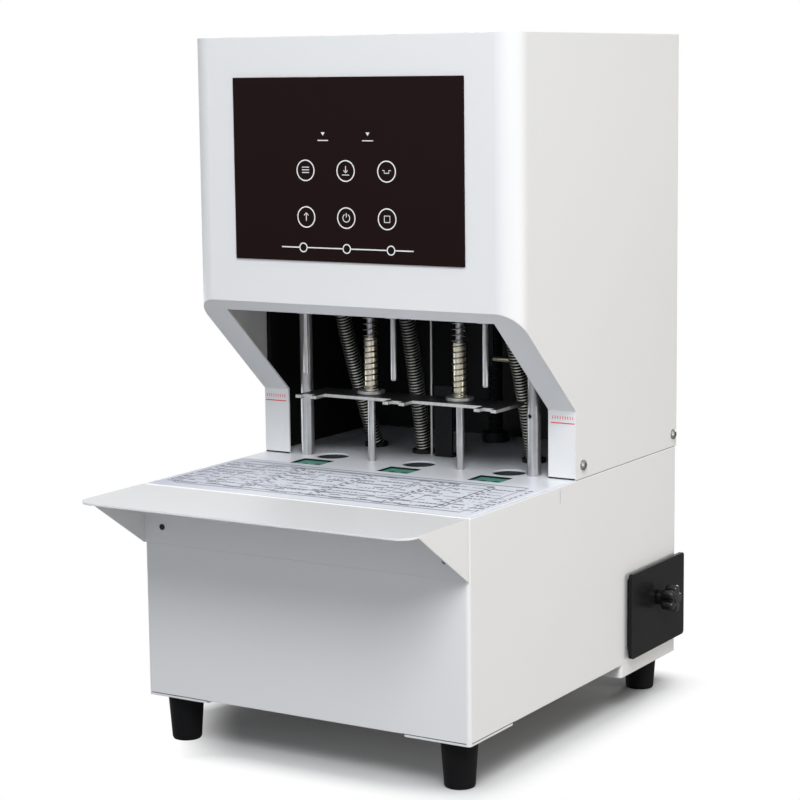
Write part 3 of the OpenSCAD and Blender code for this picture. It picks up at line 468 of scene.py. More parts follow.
def sheetPrint():
    # laminated alignment sheet: page outlines, ladders of squares along the depth, rows of strokes, and paper
    # painted darker towards the left as shade
    f = Finish("sheet_print")
    s = guidePrint
    x, y, z = f.axes()
    inside = (y > s["front"]) * (y < s["back"]) * (abs(x) < s["side"])

    def outline(halfX, midY, halfY):
        # line round a rectangle: where the larger of the two edge distances is nearly 0
        away = (abs(x) - halfX).most((abs(y - midY) - halfY) * s["thin"])
        return abs(away) < s["line"]

    def ladder(middle):
        # two rows of squares along the depth, one half a step behind the other
        away, step, (near, wide) = abs(x - middle), s["ladderStep"], s["square"]
        return (away > near) * (away < wide) * ((y + (x > middle) * (step / 2)).wrap(step) < step / 2)

    pages = outline(*s["pages"][0])
    for page in s["pages"][1:]:
        pages = pages.most(outline(*page))
    ladders = ladder(s["ladders"][0])
    for middle in s["ladders"][1:]:
        ladders = ladders.most(ladder(middle))
    onEdge = abs(abs(x) - s["side"] + s["edgeIn"]) < s["edgeHalf"]
    edge = onEdge * (y.wrap(s["ladderStep"]) < s["ladderStep"] / 2)
    leftward = ((x - s["tintFrom"]) / (s["tintTo"] - s["tintFrom"])).most(0.0).least(1.0)
    row = y.wrap(s["rowStep"])
    broken = f.grain(s["breaks"], stretch=(1, 0.6, 1))
    more = leftward * s["thicker"]
    rows = (row < s["rowHigh"]) * (broken + more > s["rowsAbove"])
    paleRows = (abs(row - s["rowStep"] / 2) < s["rowHigh"] / 2) * (broken - more < s["paleBelow"])
    letters = x.wrap(s["wordStep"]) < s["wordStep"] * s["letter"]
    inWord = f.grain(s["wordPatch"], detail=1) > s["wordsAbove"]
    words = (abs(row - s["rowStep"] * s["wordAt"]) < s["rowHigh"] * s["wordHigh"]) * (letters * inWord)
    marks = (ladders * (y > s["front"] + s["ladderIn"])).most(edge).most(rows).most(words) * inside
    paper = f.blend(f.grain(s["patch"], detail=3), *s["paper"])
    # painted shade: the paper darkens towards the left
    paper = f.blend(leftward * s["tint"], paper, s["paleInk"])
    strength = s["strength"]
    color = f.blend(paleRows * inside * strength["pale"], paper, s["paleInk"])
    color = f.blend(pages * strength["pages"], color, s["ink"])
    color = f.blend(marks * strength["marks"], color, s["ink"])
    wave = f.grain(s["wave"])
    normal = f.bump(wave, s["waveHigh"], strength=0.4)
    return f.coat(color, s["roughness"] + s["swing"] * wave, normal, Specular_IOR_Level=0.1,
                  Coat_Weight=0.15, Coat_Roughness=0.05)


glossSkin = {"cloud": 0.02, "ripple": 0.0011, "depth": 0.00002, "swing": 0.06}


def glossWhite(name, low, high, roughness, shadeOn=None, **fixed):
    # clean gloss paint: slow changes of tone and the faintest ripple, with painted shade where the given test of
    # place gives 1
    f = Finish(name)
    s = glossSkin
    cloud = f.grain(s["cloud"], detail=3)
    color = f.blend(cloud, low, high)
    if shadeOn:
        # painted shade at the seam under the head
        color = f.blend(shadeOn(*f.axes()), color, seamShade["tone"])
    ripple = f.bump(f.grain(s["ripple"]), s["depth"], strength=0.4)
    return f.coat(color, roughness + s["swing"] * cloud, ripple, **fixed)


paintBlack, oxideBlack = (0.007, 0.007, 0.008), (0.010, 0.0105, 0.012)
# dark coats: tone, tone of the edges' painted highlight, roughness, grain's size and depth, level of shine
# bare metals: tone, roughness, stretch of the lines, their size, shade of the streaks, share of metal
finishes = {
    "white_paint": powderWhite(),
    "black_paint": darkCoat("frame_black", paintBlack, (0.03, 0.03, 0.032), 0.5, 0.0007, level=0.3),
    "rubber": darkCoat("foot_rubber", (0.0038, 0.0039, 0.0045), (0.010, 0.010, 0.011), 0.7, 0.0005,
                       0.00004, 0.12),
    "steel": brushed("ground_steel", (0.70, 0.70, 0.69), 0.36, ground, shade=0.7, metal=0.8),
    "bright_steel": brushed("bright_steel", (0.60, 0.60, 0.62), 0.36, drawn, 0.0026, 0.5, 0.8),
    "spring_steel": brushed("hose_wire", (0.70, 0.68, 0.61), 0.36, (1, 1, 1), metal=0.85),
    "brass": brushed("turned_brass", (0.86, 0.80, 0.64), 0.31, drawn, 0.0016, 0.65, 0.85),
    "aluminium": brushed("cast_aluminium", (0.60, 0.61, 0.63), 0.36, turned),
    "dark_metal": darkCoat("black_oxide", oxideBlack, (0.05, 0.05, 0.053), 0.5, 0.0009, level=0.2),
    "pad_green": padNylon(),
    "panel_black": touchBlack(),
    "print_sheet": sheetPrint(),
    "board_green": boardGreen(),
    "black_plastic": darkCoat("moulded_black", paintBlack, (0.03, 0.03, 0.03), 0.4, 0.0006, level=0.25),
    "drawer_black": darkCoat("gloss_black", (0.009, 0.009, 0.0097), (0.04, 0.04, 0.043), 0.24, 0.0016,
                             0.00001, 0.08),
    "red_plastic": darkCoat("rocker_red", (0.30, 0.012, 0.012), (0.42, 0.03, 0.03), 0.32, 0.0006,
                            level=0.45),
}
sensorRod = {"x": -13.5, "y": 211.0, "reach": 2.2}
flagPin = {"fromX": 52.3}
caseScrew = {"sideFromY": 0.0}
pressEdge = {"coat": 0.08}
# painted shade on the table's edges under the head: its height, depth in from the edge and tone
seamShade = {"high": 0.55, "skin": 0.1, "tone": (0.25, 0.25, 0.25)}


def onRod(x, y, z):
    # 1 inside a square round the upright sensor rod
    return abs(x - sensorRod["x"]).most(abs(y - sensorRod["y"])) < sensorRod["reach"]


def belowTop(x, y, z):
    # 1 on the press plate's cut edges and underside, 0 on its top, which is dark
    return z < reach("press_plate")[1][2] - pressEdge["coat"]


def shadedUnderHead(x, y, z):
    # 1 on the upper part of the table's side and back edges, where the head stands on them: painted shade for the
    # dark seam there
    right, back, top = reach("table_plate")[1]
    edge = (abs(x) > right - seamShade["skin"]).most(y > back - seamShade["skin"])
    return edge * (y > legs["front"]) * (z > top - seamShade["high"])


nodeFinishes = {
    "carriage_sensor": mixedMetal("sensor_steel", onRod, oxideBlack, (0.52, 0.51, 0.48), 0.34),
    "sensor_flag": mixedMetal("flag_brass", lambda x, y, z: x > flagPin["fromX"], oxideBlack,
                              (0.66, 0.60, 0.42), 0.30),
    "case_screws": mixedMetal("case_screw", lambda x, y, z: y > caseScrew["sideFromY"],
                              (0.035, 0.035, 0.036), (0.36, 0.36, 0.35), 0.30),
    "bed_plate": darkCoat("bed_dark", (0.035, 0.044, 0.041), (0.06, 0.06, 0.06), 0.45, 0.0009, level=0.2),
    "press_plate": mixedMetal("press_steel", belowTop, (0.022, 0.022, 0.023), (0.84, 0.84, 0.83), 0.30),
    # the table's own bluish gloss white, made paler than the casing's powder coat partly as painted light, to make
    # up for the head's shade
    "table_plate": glossWhite("table_white", (0.88, 0.905, 0.955), (0.90, 0.925, 0.97), 0.26, shadedUnderHead,
                              Specular_IOR_Level=0.12, Coat_Weight=0.15, Coat_Roughness=0.06),
}
slotOf = {row["node"]: row["material_slot"] for row in frame["record"]["subparts"]}
for name, node in nodes.items():
    node.data.materials.clear()
    node.data.materials.append(nodeFinishes.get(name) or finishes[slotOf[name]])
print("finishes on", len(nodes), "nodes")

inkSkin = {"thin": 0.0012, "shade": 0.92, "depth": 0.00001, "roughness": 0.42, "swing": 0.1}


def printInk(name, tone):
    # screen printed ink: even, with slightly thinner places
    f = Finish(name)
    s = inkSkin
    thin = f.grain(s["thin"], detail=3)
    color = f.blend(thin, tuple(s["shade"] * v for v in tone), tone)
    normal = f.bump(thin, s["depth"], strength=0.4)
    return f.coat(color, s["roughness"] + s["swing"] * thin, normal, Specular_IOR_Level=0.3)


whiteInk = printInk("white_ink", (0.88, 0.88, 0.87))
redInk = printInk("red_ink", (0.80, 0.075, 0.10))
# black of the hose linings and set screws, also the painted shade in the pad windows
liningAndShadeBlack = darkCoat("hose_lining", (0.006, 0.006, 0.006), (0.01, 0.01, 0.01), 0.6, 0.0008, level=0.2)
# black of the painted shade lines in the gaps under the legs and over the front feet
shadeLineBlack = darkCoat("shade_line_black", (0.020, 0.020, 0.021), (0.04, 0.04, 0.04), 0.6, 0.0006, level=0.2)
springWire = brushed("spring_wire", (0.42, 0.40, 0.35), 0.24, (1, 1, 1), shade=0.7)

# Press flanges, springs and hoses

carriageLow = reach("carriage_plate")[0]
collarTop = reach("press_collars")[1][2]
feedTravel = next(j for j in frame["joints"] if j["name"] == "carriage_feed")["range_m"][1] / mm
couplings = frame["record"]["behaviour"]["couplings"]
pressRatio = next(c for c in couplings if c["joint"] == "press_slide")["ratio"]

pressSpring = {"wire": 1.05, "outer": 12.6, "turns": 19.0, "closedTurns": 1.6, "stepsPerTurn": 28,
               "sides": 8, "softSteps": 7, "endGap": 0.05}


def springCoil(foot, low, high, s):
    # wire round an upright axis: the pitch is one wire in the end turns, even between them, softly joined
    turns, closed, wire = s["turns"], s["closedTurns"], s["wire"]
    turn = np.linspace(0, turns, int(turns * s["stepsPerTurn"]) + 1)
    first, last = low + wire / 2, high - wire / 2
    knots = [0, closed, turns - closed, turns]
    rise = np.interp(turn, knots, [first, first + closed * wire, last - closed * wire, last])
    span = 2 * s["softSteps"] + 1
    smooth = np.convolve(np.pad(rise, s["softSteps"], "edge"), np.ones(span) / span, "valid")
    angle = 2 * np.pi * turn
    out = np.stack([np.cos(angle), np.sin(angle), np.zeros_like(angle)], -1)
    path = out * (s["outer"] - wire) / 2 + np.stack([0 * angle + foot[0], 0 * angle + foot[1], smooth], -1)
    return carry(path, circle(wire / 2, s["sides"]), out)


pressFlange = {"high": 2.8, "chamfer": 0.4, "bore": 10.2, "columns": 64, "footOuter": 10.0, "footBore": 6.6}


def turnedRing(middle, outline, columns):
    # a closed outline of radius and height, carried once round an upright axis
    ring = circle(1.0, columns)
    path = np.column_stack([middle[:2] - ring, np.zeros(columns)])[::-1]
    spokes = np.column_stack([-ring, np.zeros(columns)])[::-1]
    return carry(path, np.asarray(outline, float) - (1.0, 0.0), spokes, True)


def flangeOutline(low, outer, s):
    # radius and height round the section of a thin washer with both outer corners cut
    cut, inner, high = s["chamfer"], s["bore"] / 2, low + s["high"]
    return [(inner, low), (outer - cut, low), (outer, low + cut), (outer, high - cut), (outer - cut, high),
            (inner, high)]


def footOutline(low, high, s):
    # radius and height round the section of a plain sleeve
    inner, outer = s["footBore"] / 2, s["footOuter"] / 2
    return [(inner, low), (outer, low), (outer, high), (inner, high)]


flangeLow = reach("press_plate")[1][2]
flangeTop = flangeLow + pressFlange["high"]
springMiddles = {}
for side in ("left", "right"):
    low, high = reach("press_spring_" + side)
    springMiddles[side] = (low + high) / 2
collarRadius = reach("press_collars")[1][0] - springMiddles["right"][0]
rings = pressFlange["columns"]
outline = flangeOutline(flangeLow, collarRadius, pressFlange)
flanges = [turnedRing(middle, outline, rings) for middle in springMiddles.values()]
flange = makePiece("press_flanges", flanges, finishes["steel"], "press")
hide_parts("press_collars")
outline = footOutline(flangeTop, collarTop, pressFlange)
feet = [turnedRing(middle, outline, rings) for middle in springMiddles.values()]
makePiece("sleeve_feet", feet, finishes["brass"], "press")

endGap = pressSpring["endGap"]
springKeep = 1 - (1 - pressRatio) * feedTravel / (carriageLow[2] - flangeTop)
for side, middle in springMiddles.items():
    coil = springCoil(middle, flangeTop + endGap, carriageLow[2] - endGap, pressSpring)
    spring = makePiece("press_coil_" + side, [coil], springWire, "press")
    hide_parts("press_spring_" + side)
    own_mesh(spring)

chipHose = {"wire": 0.95, "outer": 13.0, "turns": 54, "stepsPerTurn": 18, "sides": 6, "coreGap": 0.1,
            "coreSides": 24, "turnsPerCoreRow": 2}
# foot, top and bow of each hose as x and y
hoseRoutes = {"left": ((-75.5, 226), (-80.5, 180), (-2.5, 0.0)),
              "middle": ((-24, 216), (-24, 186), (0.0, 1.5)),
              "right": ((74.5, 218), (71.5, 178), (0.5, 1.0))}


def hoseForm(low, high, foot, top, bow, s):
    # a wire wound round a lightly bowed line from foot to top, and the lining tube inside it
    turn = np.linspace(0, s["turns"], s["turns"] * s["stepsPerTurn"] + 1)
    share = turn / s["turns"]
    lift = s["wire"] / 2
    ends = np.array([[*foot, low + lift], [*top, high - lift]])
    line = ends[0] + (ends[1] - ends[0]) * share[:, None]
    line += np.array([*bow, 0.0]) * (4 * share * (1 - share))[:, None]
    along = unit(ends[1] - ends[0])
    first = np.array([1.0, 0.0, 0.0])
    second = np.cross(along, first)
    angle = (2 * np.pi * turn)[:, None]
    out = first * np.cos(angle) + second * np.sin(angle)
    coil = carry(line + out * (s["outer"] - s["wire"]) / 2, circle(s["wire"] / 2, s["sides"]), out)
    inner = (s["outer"] - s["wire"]) / 2 - s["coreGap"]
    core = carry(line[::s["stepsPerTurn"] * s["turnsPerCoreRow"]], circle(inner, s["coreSides"]), first)
    return coil, core


hoseLow = reach("hose_ports")[1][2]
hoseKeep = 1 - feedTravel / (carriageLow[2] - hoseLow)
for side, route in hoseRoutes.items():
    coil, core = hoseForm(hoseLow, carriageLow[2], *route, chipHose)
    wound = makePiece("chip_hose_wire_" + side, [coil], finishes["spring_steel"], "stand")
    lining = makePiece("chip_hose_lining_" + side, [core], liningAndShadeBlack, "stand")
    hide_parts("chip_hose_" + side)
    for piece in (wound, lining):
        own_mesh(piece)
print("springs and hoses wound")

# Feed screw

feedThread = {"pitch": 2.0, "starts": 4, "depth": 0.9, "steep": 1.6, "crest": 0.3, "rowsPerPitch": 6,
              "columns": 32}


def threadedRod(low, high, s):
    # radius falls from the crest by a clipped triangle wave of the height less the turned share of the lead
    radius = (high[0] - low[0]) / 2
    rows = int((high[2] - low[2]) / s["pitch"] * s["rowsPerPitch"]) + 1
    turn = np.arange(s["columns"]) * 2 * np.pi / s["columns"]
    z, angle = np.meshgrid(np.linspace(low[2], high[2], rows), turn, indexing="ij")
    phase = (z / s["pitch"] - s["starts"] * angle / (2 * np.pi)) % 1.0
    wave = np.clip(s["steep"] * (1 - abs(2 * phase - 1)) - s["crest"], 0, 1)
    r = radius - s["depth"] * wave
    points = np.stack([r * np.cos(angle), r * np.sin(angle), z], -1) + [*(low + high)[:2] / 2, 0]
    return points.reshape(-1, 3), gridFaces(rows, s["columns"], False, True), capFaces(rows, s["columns"])


thread = threadedRod(*reach("feed_screw"), feedThread)
screw = makePiece("feed_thread", [thread], finishes["dark_metal"], "lead_screw")
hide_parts("feed_screw")
print("feed screw cut")

# Panel print

panelPrint = {
    "ringXs": (-35.0, 0.0, 35.0), "ringZs": (429.7, 395.5), "ringOuter": 15.8, "stroke": 0.85,
    "iconSize": 3.9, "iconStroke": 0.6, "thick": 0.12, "sunk": 0.02, "ringSteps": 72,
    "pointerX": 19.3, "pointerZ": 456.3, "pointerSize": 1.7, "pointerHigh": 0.75,
    "dash": (4.6, 0.7), "dashZ": 451.6,
    "holeLineZ": 373.0, "holeLineHalf": 57.0, "holePitch": 38.0, "holeOuter": 6.4, "holeGap": 0.6,
    "holeSteps": 40,
}
# strokes in a key's own units, x right and z up, all within about 1 of the key's middle
arc = np.linspace(math.radians(240), math.radians(-60), 28)
keyIcons = [
    [[(-0.8, 0.6), (0.8, 0.6)], [(-0.8, 0.1), (0.8, 0.1)], [(-0.8, -0.4), (0.8, -0.4)]],
    [[(0, 0.9), (0, -0.35)], [(-0.45, 0.1), (0, -0.35), (0.45, 0.1)], [(-0.8, -0.75), (0.8, -0.75)]],
    [[(-0.9, 0.2), (-0.5, 0.2), (-0.5, -0.3), (0.5, -0.3), (0.5, 0.2), (0.9, 0.2)]],
    [[(0, -0.7), (0, 0.8)], [(-0.5, 0.3), (0, 0.8), (0.5, 0.3)]],
    [0.75 * np.stack([np.cos(arc + math.pi), np.sin(arc + math.pi)], -1), [(0, 0.95), (0, 0.1)]],
    [[(-0.6, -0.6), (-0.6, 0.6), (0.6, 0.6), (0.6, -0.6), (-0.6, -0.6)]],
]


def onPanel(flat, y):
    # (x, z) points set upright at depth y
    flat = np.asarray(flat, float)
    return np.stack([flat[:, 0], np.full(len(flat), y), flat[:, 1]], -1)


def inkLine(flat, y, width, thick, closed=False):
    # a flat bar of ink carried along a line on a surface that faces the front
    return carry(onPanel(flat, y), bar(thick, width), (0, 1, 0), closed)


def panelMarks(s):
    # rings with icons in rows, two pointers over dashes, and three holes on a line, all sunk a little
    y = reach("touch_panel")[0][1] - s["thick"] / 2 + s["sunk"]
    parts = []
    keys = [(x, z) for z in s["ringZs"] for x in s["ringXs"]]
    for (x, z), icon in zip(keys, keyIcons):
        ring = circle((s["ringOuter"] - s["stroke"]) / 2, s["ringSteps"]) + (x, z)
        parts.append(inkLine(ring, y, s["stroke"], s["thick"], True))
        for stroke in icon:
            line = np.asarray(stroke) * s["iconSize"] + (x, z)
            parts.append(inkLine(line, y, s["iconStroke"], s["thick"]))
    for x in (-s["pointerX"], s["pointerX"]):
        high = s["pointerHigh"]
        tip = np.array([(-1, high), (1, high), (0, -high)]) * s["pointerSize"] + (x, s["pointerZ"])
        front, back = onPanel(tip, y - s["thick"] / 2), onPanel(tip, y + s["thick"] / 2)
        parts.append((np.concatenate([front, back]), gridFaces(2, 3, False, True), capFaces(2, 3)))
        length, width = s["dash"]
        parts.append(inkLine([(x - length, s["dashZ"]), (x + length, s["dashZ"])], y, width, s["thick"]))
    half, radius = s["holeLineHalf"], s["holeOuter"] / 2
    holes = [-s["holePitch"], 0.0, s["holePitch"]]
    for x in holes:
        ring = circle(radius, s["holeSteps"]) + (x, s["holeLineZ"])
        parts.append(inkLine(ring, y, s["stroke"], s["thick"], True))
    ends = [-half] + [x + k * (radius + s["holeGap"]) for x in holes for k in (-1, 1)] + [half]
    for start, stop in zip(ends[::2], ends[1::2]):
        parts.append(inkLine([(start, s["holeLineZ"]), (stop, s["holeLineZ"])], y, s["stroke"], s["thick"]))
    return parts


makePiece("panel_print", panelMarks(panelPrint), whiteInk, "stand")
print("panel printed")

# Limit marks on the legs

limitMarks = {"z": 240.5, "halfWidth": 9.8, "fromMiddle": 129.2, "line": 0.8, "thick": 0.12, "sunk": 0.02,
              "tick": 2.4, "tickWidth": 0.55, "tickCount": 9, "tickSpan": 0.86, "tickZ": 244.6}


def legMarks(s):
    # a line across each leg under a row of even ticks
    legY = legs["front"] - s["thick"] / 2 + s["sunk"]
    parts = []
    for x in (-s["fromMiddle"], s["fromMiddle"]):
        left, right = (x - s["halfWidth"], s["z"]), (x + s["halfWidth"], s["z"])
        parts.append(inkLine([left, right], legY, s["line"], s["thick"]))
        for at in x + np.linspace(-1, 1, s["tickCount"]) * s["tickSpan"] * s["halfWidth"]:
            low, high = (at, s["tickZ"] - s["tick"] / 2), (at, s["tickZ"] + s["tick"] / 2)
            parts.append(inkLine([low, high], legY, s["tickWidth"], s["thick"]))
    return parts


makePiece("limit_marks", legMarks(limitMarks), redInk, "stand")
print("legs marked")

# Painted shade lines, the table bead and painted shade in the pad windows

# the first keys set the painted shade lines, the bead keys the table's rolled edge
seam = {"shadeHigh": 1.2, "shadeThick": 0.5, "shadeOut": 0.12, "footLine": 0.45, "footFrom": 85.0,
        "corner": 3.0, "steps": 4, "beadWidth": 3.4, "beadHigh": 0.55, "beadOut": 0.6, "beadShort": 1.0,
        "beadSteps": 30, "beadSides": 13}
tableTop = reach("table_plate")[1][2]


def legShadeStrips(s):
    # painted shade: dark strip under the leg fronts, standing for the shadowed gap there
    half = reach("head_wrap")[1][0] - s["shadeThick"]
    y = legs["front"] + s["shadeThick"] / 2 - s["shadeOut"]
    z = tableTop + s["shadeHigh"] / 2
    return [carry(np.linspace((side * legs["inner"], y, z), (side * half, y, z), s["steps"]),
                  bar(s["shadeHigh"], s["shadeThick"]), (0, 0, 1)) for side in (-1, 1)]


def footShadeLines(s):
    # painted shade: dark line between the base walls and the plates over the front feet, standing for the shadowed
    # gap
    low, high = reach("front_foot_plates")
    wide = (high[0] - low[0]) / 2
    inset = s["shadeThick"] / 2 - s["shadeOut"]
    front, z = low[1] + inset, high[2]
    parts = []
    for side in (-1, 1):
        wall = side * (wide - inset)
        across = (side * s["footFrom"], front, z), (side * (wide - s["corner"]), front, z)
        along = (wall, low[1] + s["corner"], z), (wall, high[1], z)
        for ends in (across, along):
            line = np.linspace(*ends, s["steps"])
            parts.append(carry(line, bar(s["footLine"], s["shadeThick"]), (0, 0, 1)))
    return parts


makePiece("foot_shade_lines", legShadeStrips(seam) + footShadeLines(seam), shadeLineBlack, "stand")


def tableBead(s):
    # rolled front edge of the table: half of a flat oval along the front
    low, high = reach("table_plate")
    a = np.linspace(0, np.pi, s["beadSides"])
    profile = np.stack([s["beadHigh"] * np.sin(a), s["beadWidth"] / 2 * np.cos(a)], -1)
    x = np.linspace(low[0] + s["beadShort"], high[0] - s["beadShort"], s["beadSteps"])
    path = np.stack([x, 0 * x + s["beadWidth"] / 2 - s["beadOut"], 0 * x + high[2]], -1)
    return carry(path, profile, (0, 0, 1))


# a paler white on the rolled edge as a painted highlight; its gloss is real
beadHighlightWhite = glossWhite("bead_highlight_white", (0.90, 0.905, 0.915), (0.94, 0.943, 0.95), 0.16,
                       Specular_IOR_Level=0.5)
makePiece("table_bead", [tableBead(seam)], beadHighlightWhite, "stand")

# painted shade in the pad windows: size, corners and depth of the black strips
windowShadeForm = {"wide": 28.0, "front": 126.0, "back": 149.0, "corner": 1.0, "thick": 0.3,
               "low": 0.15, "drop": 0.08}


def roundedLoop(left, right, front, back, radius, steps=5):
    # quarter circles at the four corners, one after another
    turn = np.linspace(0, np.pi / 2, steps)
    quarters = np.concatenate([turn + k * np.pi / 2 for k in range(4)])
    mid = np.repeat([(right - radius, back - radius), (left + radius, back - radius),
                     (left + radius, front + radius), (right - radius, front + radius)], steps, axis=0)
    return mid + radius * np.stack([np.cos(quarters), np.sin(quarters)], -1)


def windowWallShades(s):
    # painted shade: black strips round the walls of the three pad windows, standing for their shadowed walls
    parts = []
    for side in ("left", "middle", "right"):
        low, high = reach("drill_pad_" + side)
        middle, bottom, top = (low[0] + high[0]) / 2, high[2] + s["low"], tableTop - s["drop"]
        inset = s["thick"] / 2
        half = s["wide"] / 2 - inset
        front, back = s["front"] + inset, s["back"] - inset
        loop = roundedLoop(middle - half, middle + half, front, back, s["corner"])
        path = np.column_stack([loop, np.full(len(loop), (bottom + top) / 2)])
        parts.append(carry(path, bar(top - bottom, s["thick"]), (0, 0, 1), True))
    return parts


makePiece("window_wall_shades", windowWallShades(windowShadeForm), liningAndShadeBlack, "stand")
print("seams laid")

# Set screws in the columns

setScrew = {"radius": 1.6, "socket": 0.8, "recess": 0.6, "deep": 1.2, "chamfer": 0.3, "columns": 24,
            "start": 1.0, "fromMiddle": 102.5, "y": 166.0, "z": 243.6, "turns": {-1: -42.0, 1: -11.5}}


def cupScrew(side, s):
    # a turned outline of distance and radius, swept round the level axis that points out of the column
    turn = math.radians(s["turns"][side])
    ahead = np.array([math.sin(turn), -math.cos(turn), 0.0])
    level, up = np.array([math.cos(turn), math.sin(turn), 0.0]), np.array([0.0, 0.0, 1.0])
    face = reach("guide_columns")[1][0] - s["fromMiddle"] - s["recess"]
    outer, inner, chamfer = s["radius"], s["socket"], s["chamfer"]
    outline = np.array([(s["start"], outer), (face - chamfer, outer), (face, outer - chamfer),
                        (face, inner), (face - s["deep"], inner)])
    ring = circle(1.0, s["columns"])
    spokes = ring[:, :1] * level + ring[:, 1:] * up
    foot = np.array([side * s["fromMiddle"], s["y"], s["z"]])
    points = foot + outline[:, :1, None] * ahead + outline[:, 1:, None] * spokes
    rows, cols = points.shape[:2]
    return points.reshape(-1, 3), gridFaces(rows, cols, False, True), capFaces(rows, cols)


makePiece("set_screws", [cupScrew(side, setScrew) for side in (-1, 1)], liningAndShadeBlack, "stand")
print("set screws driven")

# Inlet pins

inletPins = {"size": (4.0, 2.0), "length": 11.0, "spread": 7.0, "rise": 3.5, "fall": 2.5, "below": 12.0,
             "deep": 16.0, "sunk": 0.5, "steps": 6}


def pinBlades(s):
    # three flat blades that stand out of the socket's back wall, two low at the sides and one high
    low, high = reach("power_inlet")
    midX, plugZ = (low[0] + high[0]) / 2, (low[2] + high[2]) / 2 - s["below"]
    back = high[1] - s["deep"]
    parts = []
    for dx, dz in ((-s["spread"], -s["fall"]), (s["spread"], -s["fall"]), (0.0, s["rise"])):
        ends = (midX + dx, back - s["sunk"], plugZ + dz), (midX + dx, back + s["length"], plugZ + dz)
        parts.append(carry(np.linspace(*ends, s["steps"]), bar(*s["size"]), (0, 0, 1)))
    return parts


makePiece("inlet_pins", pinBlades(inletPins), finishes["brass"], "stand")
print("inlet pins set")

# Lobed knob on the drawer front

knobForm = {"lobes": 5, "outer": 22.0, "lobe": 3.7, "hub": 6.4, "edge": 1.7, "edgeRows": 6, "columns": 180,
            "neck": 12.0, "stem": 8.0, "cap": 7.0, "capHigh": 0.7, "plateGap": 1.0, "lap": 0.5,
            "rodSteps": 4, "rodSides": 40}


def lobedKnob(middle, low, high, s):
    # radius at each angle: the far side of the nearest lobe's circle, or the hub; ends are quarter rounds
    angle = np.arange(s["columns"]) * 2 * np.pi / s["columns"]
    share = 2 * np.pi / s["lobes"]
    away = (angle + share / 2) % share - share / 2
    centre = s["outer"] / 2 - s["lobe"]
    inside = np.maximum(s["lobe"] ** 2 - (centre * np.sin(away)) ** 2, 0)
    radius = np.maximum(np.where(inside > 0, centre * np.cos(away) + np.sqrt(inside), 0), s["hub"])
    turn = np.linspace(0, np.pi / 2, s["edgeRows"])
    inset = s["edge"] * (1 - np.sin(turn))
    rise = s["edge"] * (1 - np.cos(turn))
    x = np.concatenate([low + rise, high - rise[::-1]])
    r = radius - np.concatenate([inset, inset[::-1]])[:, None]
    y, z = middle[1] + r * np.cos(angle), middle[2] + r * np.sin(angle)
    points = np.stack([x[:, None] + 0 * r, y, z], -1)
    rows, cols = r.shape
    return points.reshape(-1, 3), gridFaces(rows, cols, False, True), capFaces(rows, cols)


def knobParts(s):
    # lobed head, neck, stem into the drawer front and cap on the joint's axis, lapping into each other
    low, high = reach("star_knob")
    plate = reach("drawer_front")[1][0]
    joint = next(j for j in frame["joints"] if j["name"] == "knob_turn")
    middle = (np.array(joint["pos_m"]) - origin) / mm

    def rod(start, stop, diameter):
        # a round bar along x on the joint's axis
        path = np.linspace((start, *middle[1:]), (stop, *middle[1:]), s["rodSteps"])
        return carry(path, circle(diameter / 2, s["rodSides"]), (0, 0, 1))

    gap, lap = plate + s["plateGap"], s["lap"]
    return [lobedKnob(middle, middle[0], high[0], s), rod(gap, middle[0] + lap, s["neck"]),
            rod(low[0], gap + lap, s["stem"]), rod(high[0] - lap, high[0] + s["capHigh"], s["cap"])]


knobBlack = darkCoat("knob_black", (0.006, 0.006, 0.0065), (0.012, 0.012, 0.013), 0.24, 0.0012,
                     0.00001, 0.36)
knob = makePiece("lobed_knob", knobParts(knobForm), knobBlack, "drawer_knob")
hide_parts("star_knob")
print("knob formed")

# Floor, light and camera

# the contact keys set the painted shadow under the base, from ambient occlusion
studio = {"floorSize": 9.0, "floorTone": 0.38, "floorSeen": 1.12, "fade": 28.0,
          "leftFrom": 50.0, "leftTo": 113.0, "leftSlant": 0.774, "contact": 0.15, "contactTone": 0.48,
          "contactFrom": 0.25, "contactTo": 1.0,
          "ambient": 0.212, "ambientTone": (0.99, 0.985, 0.98)}


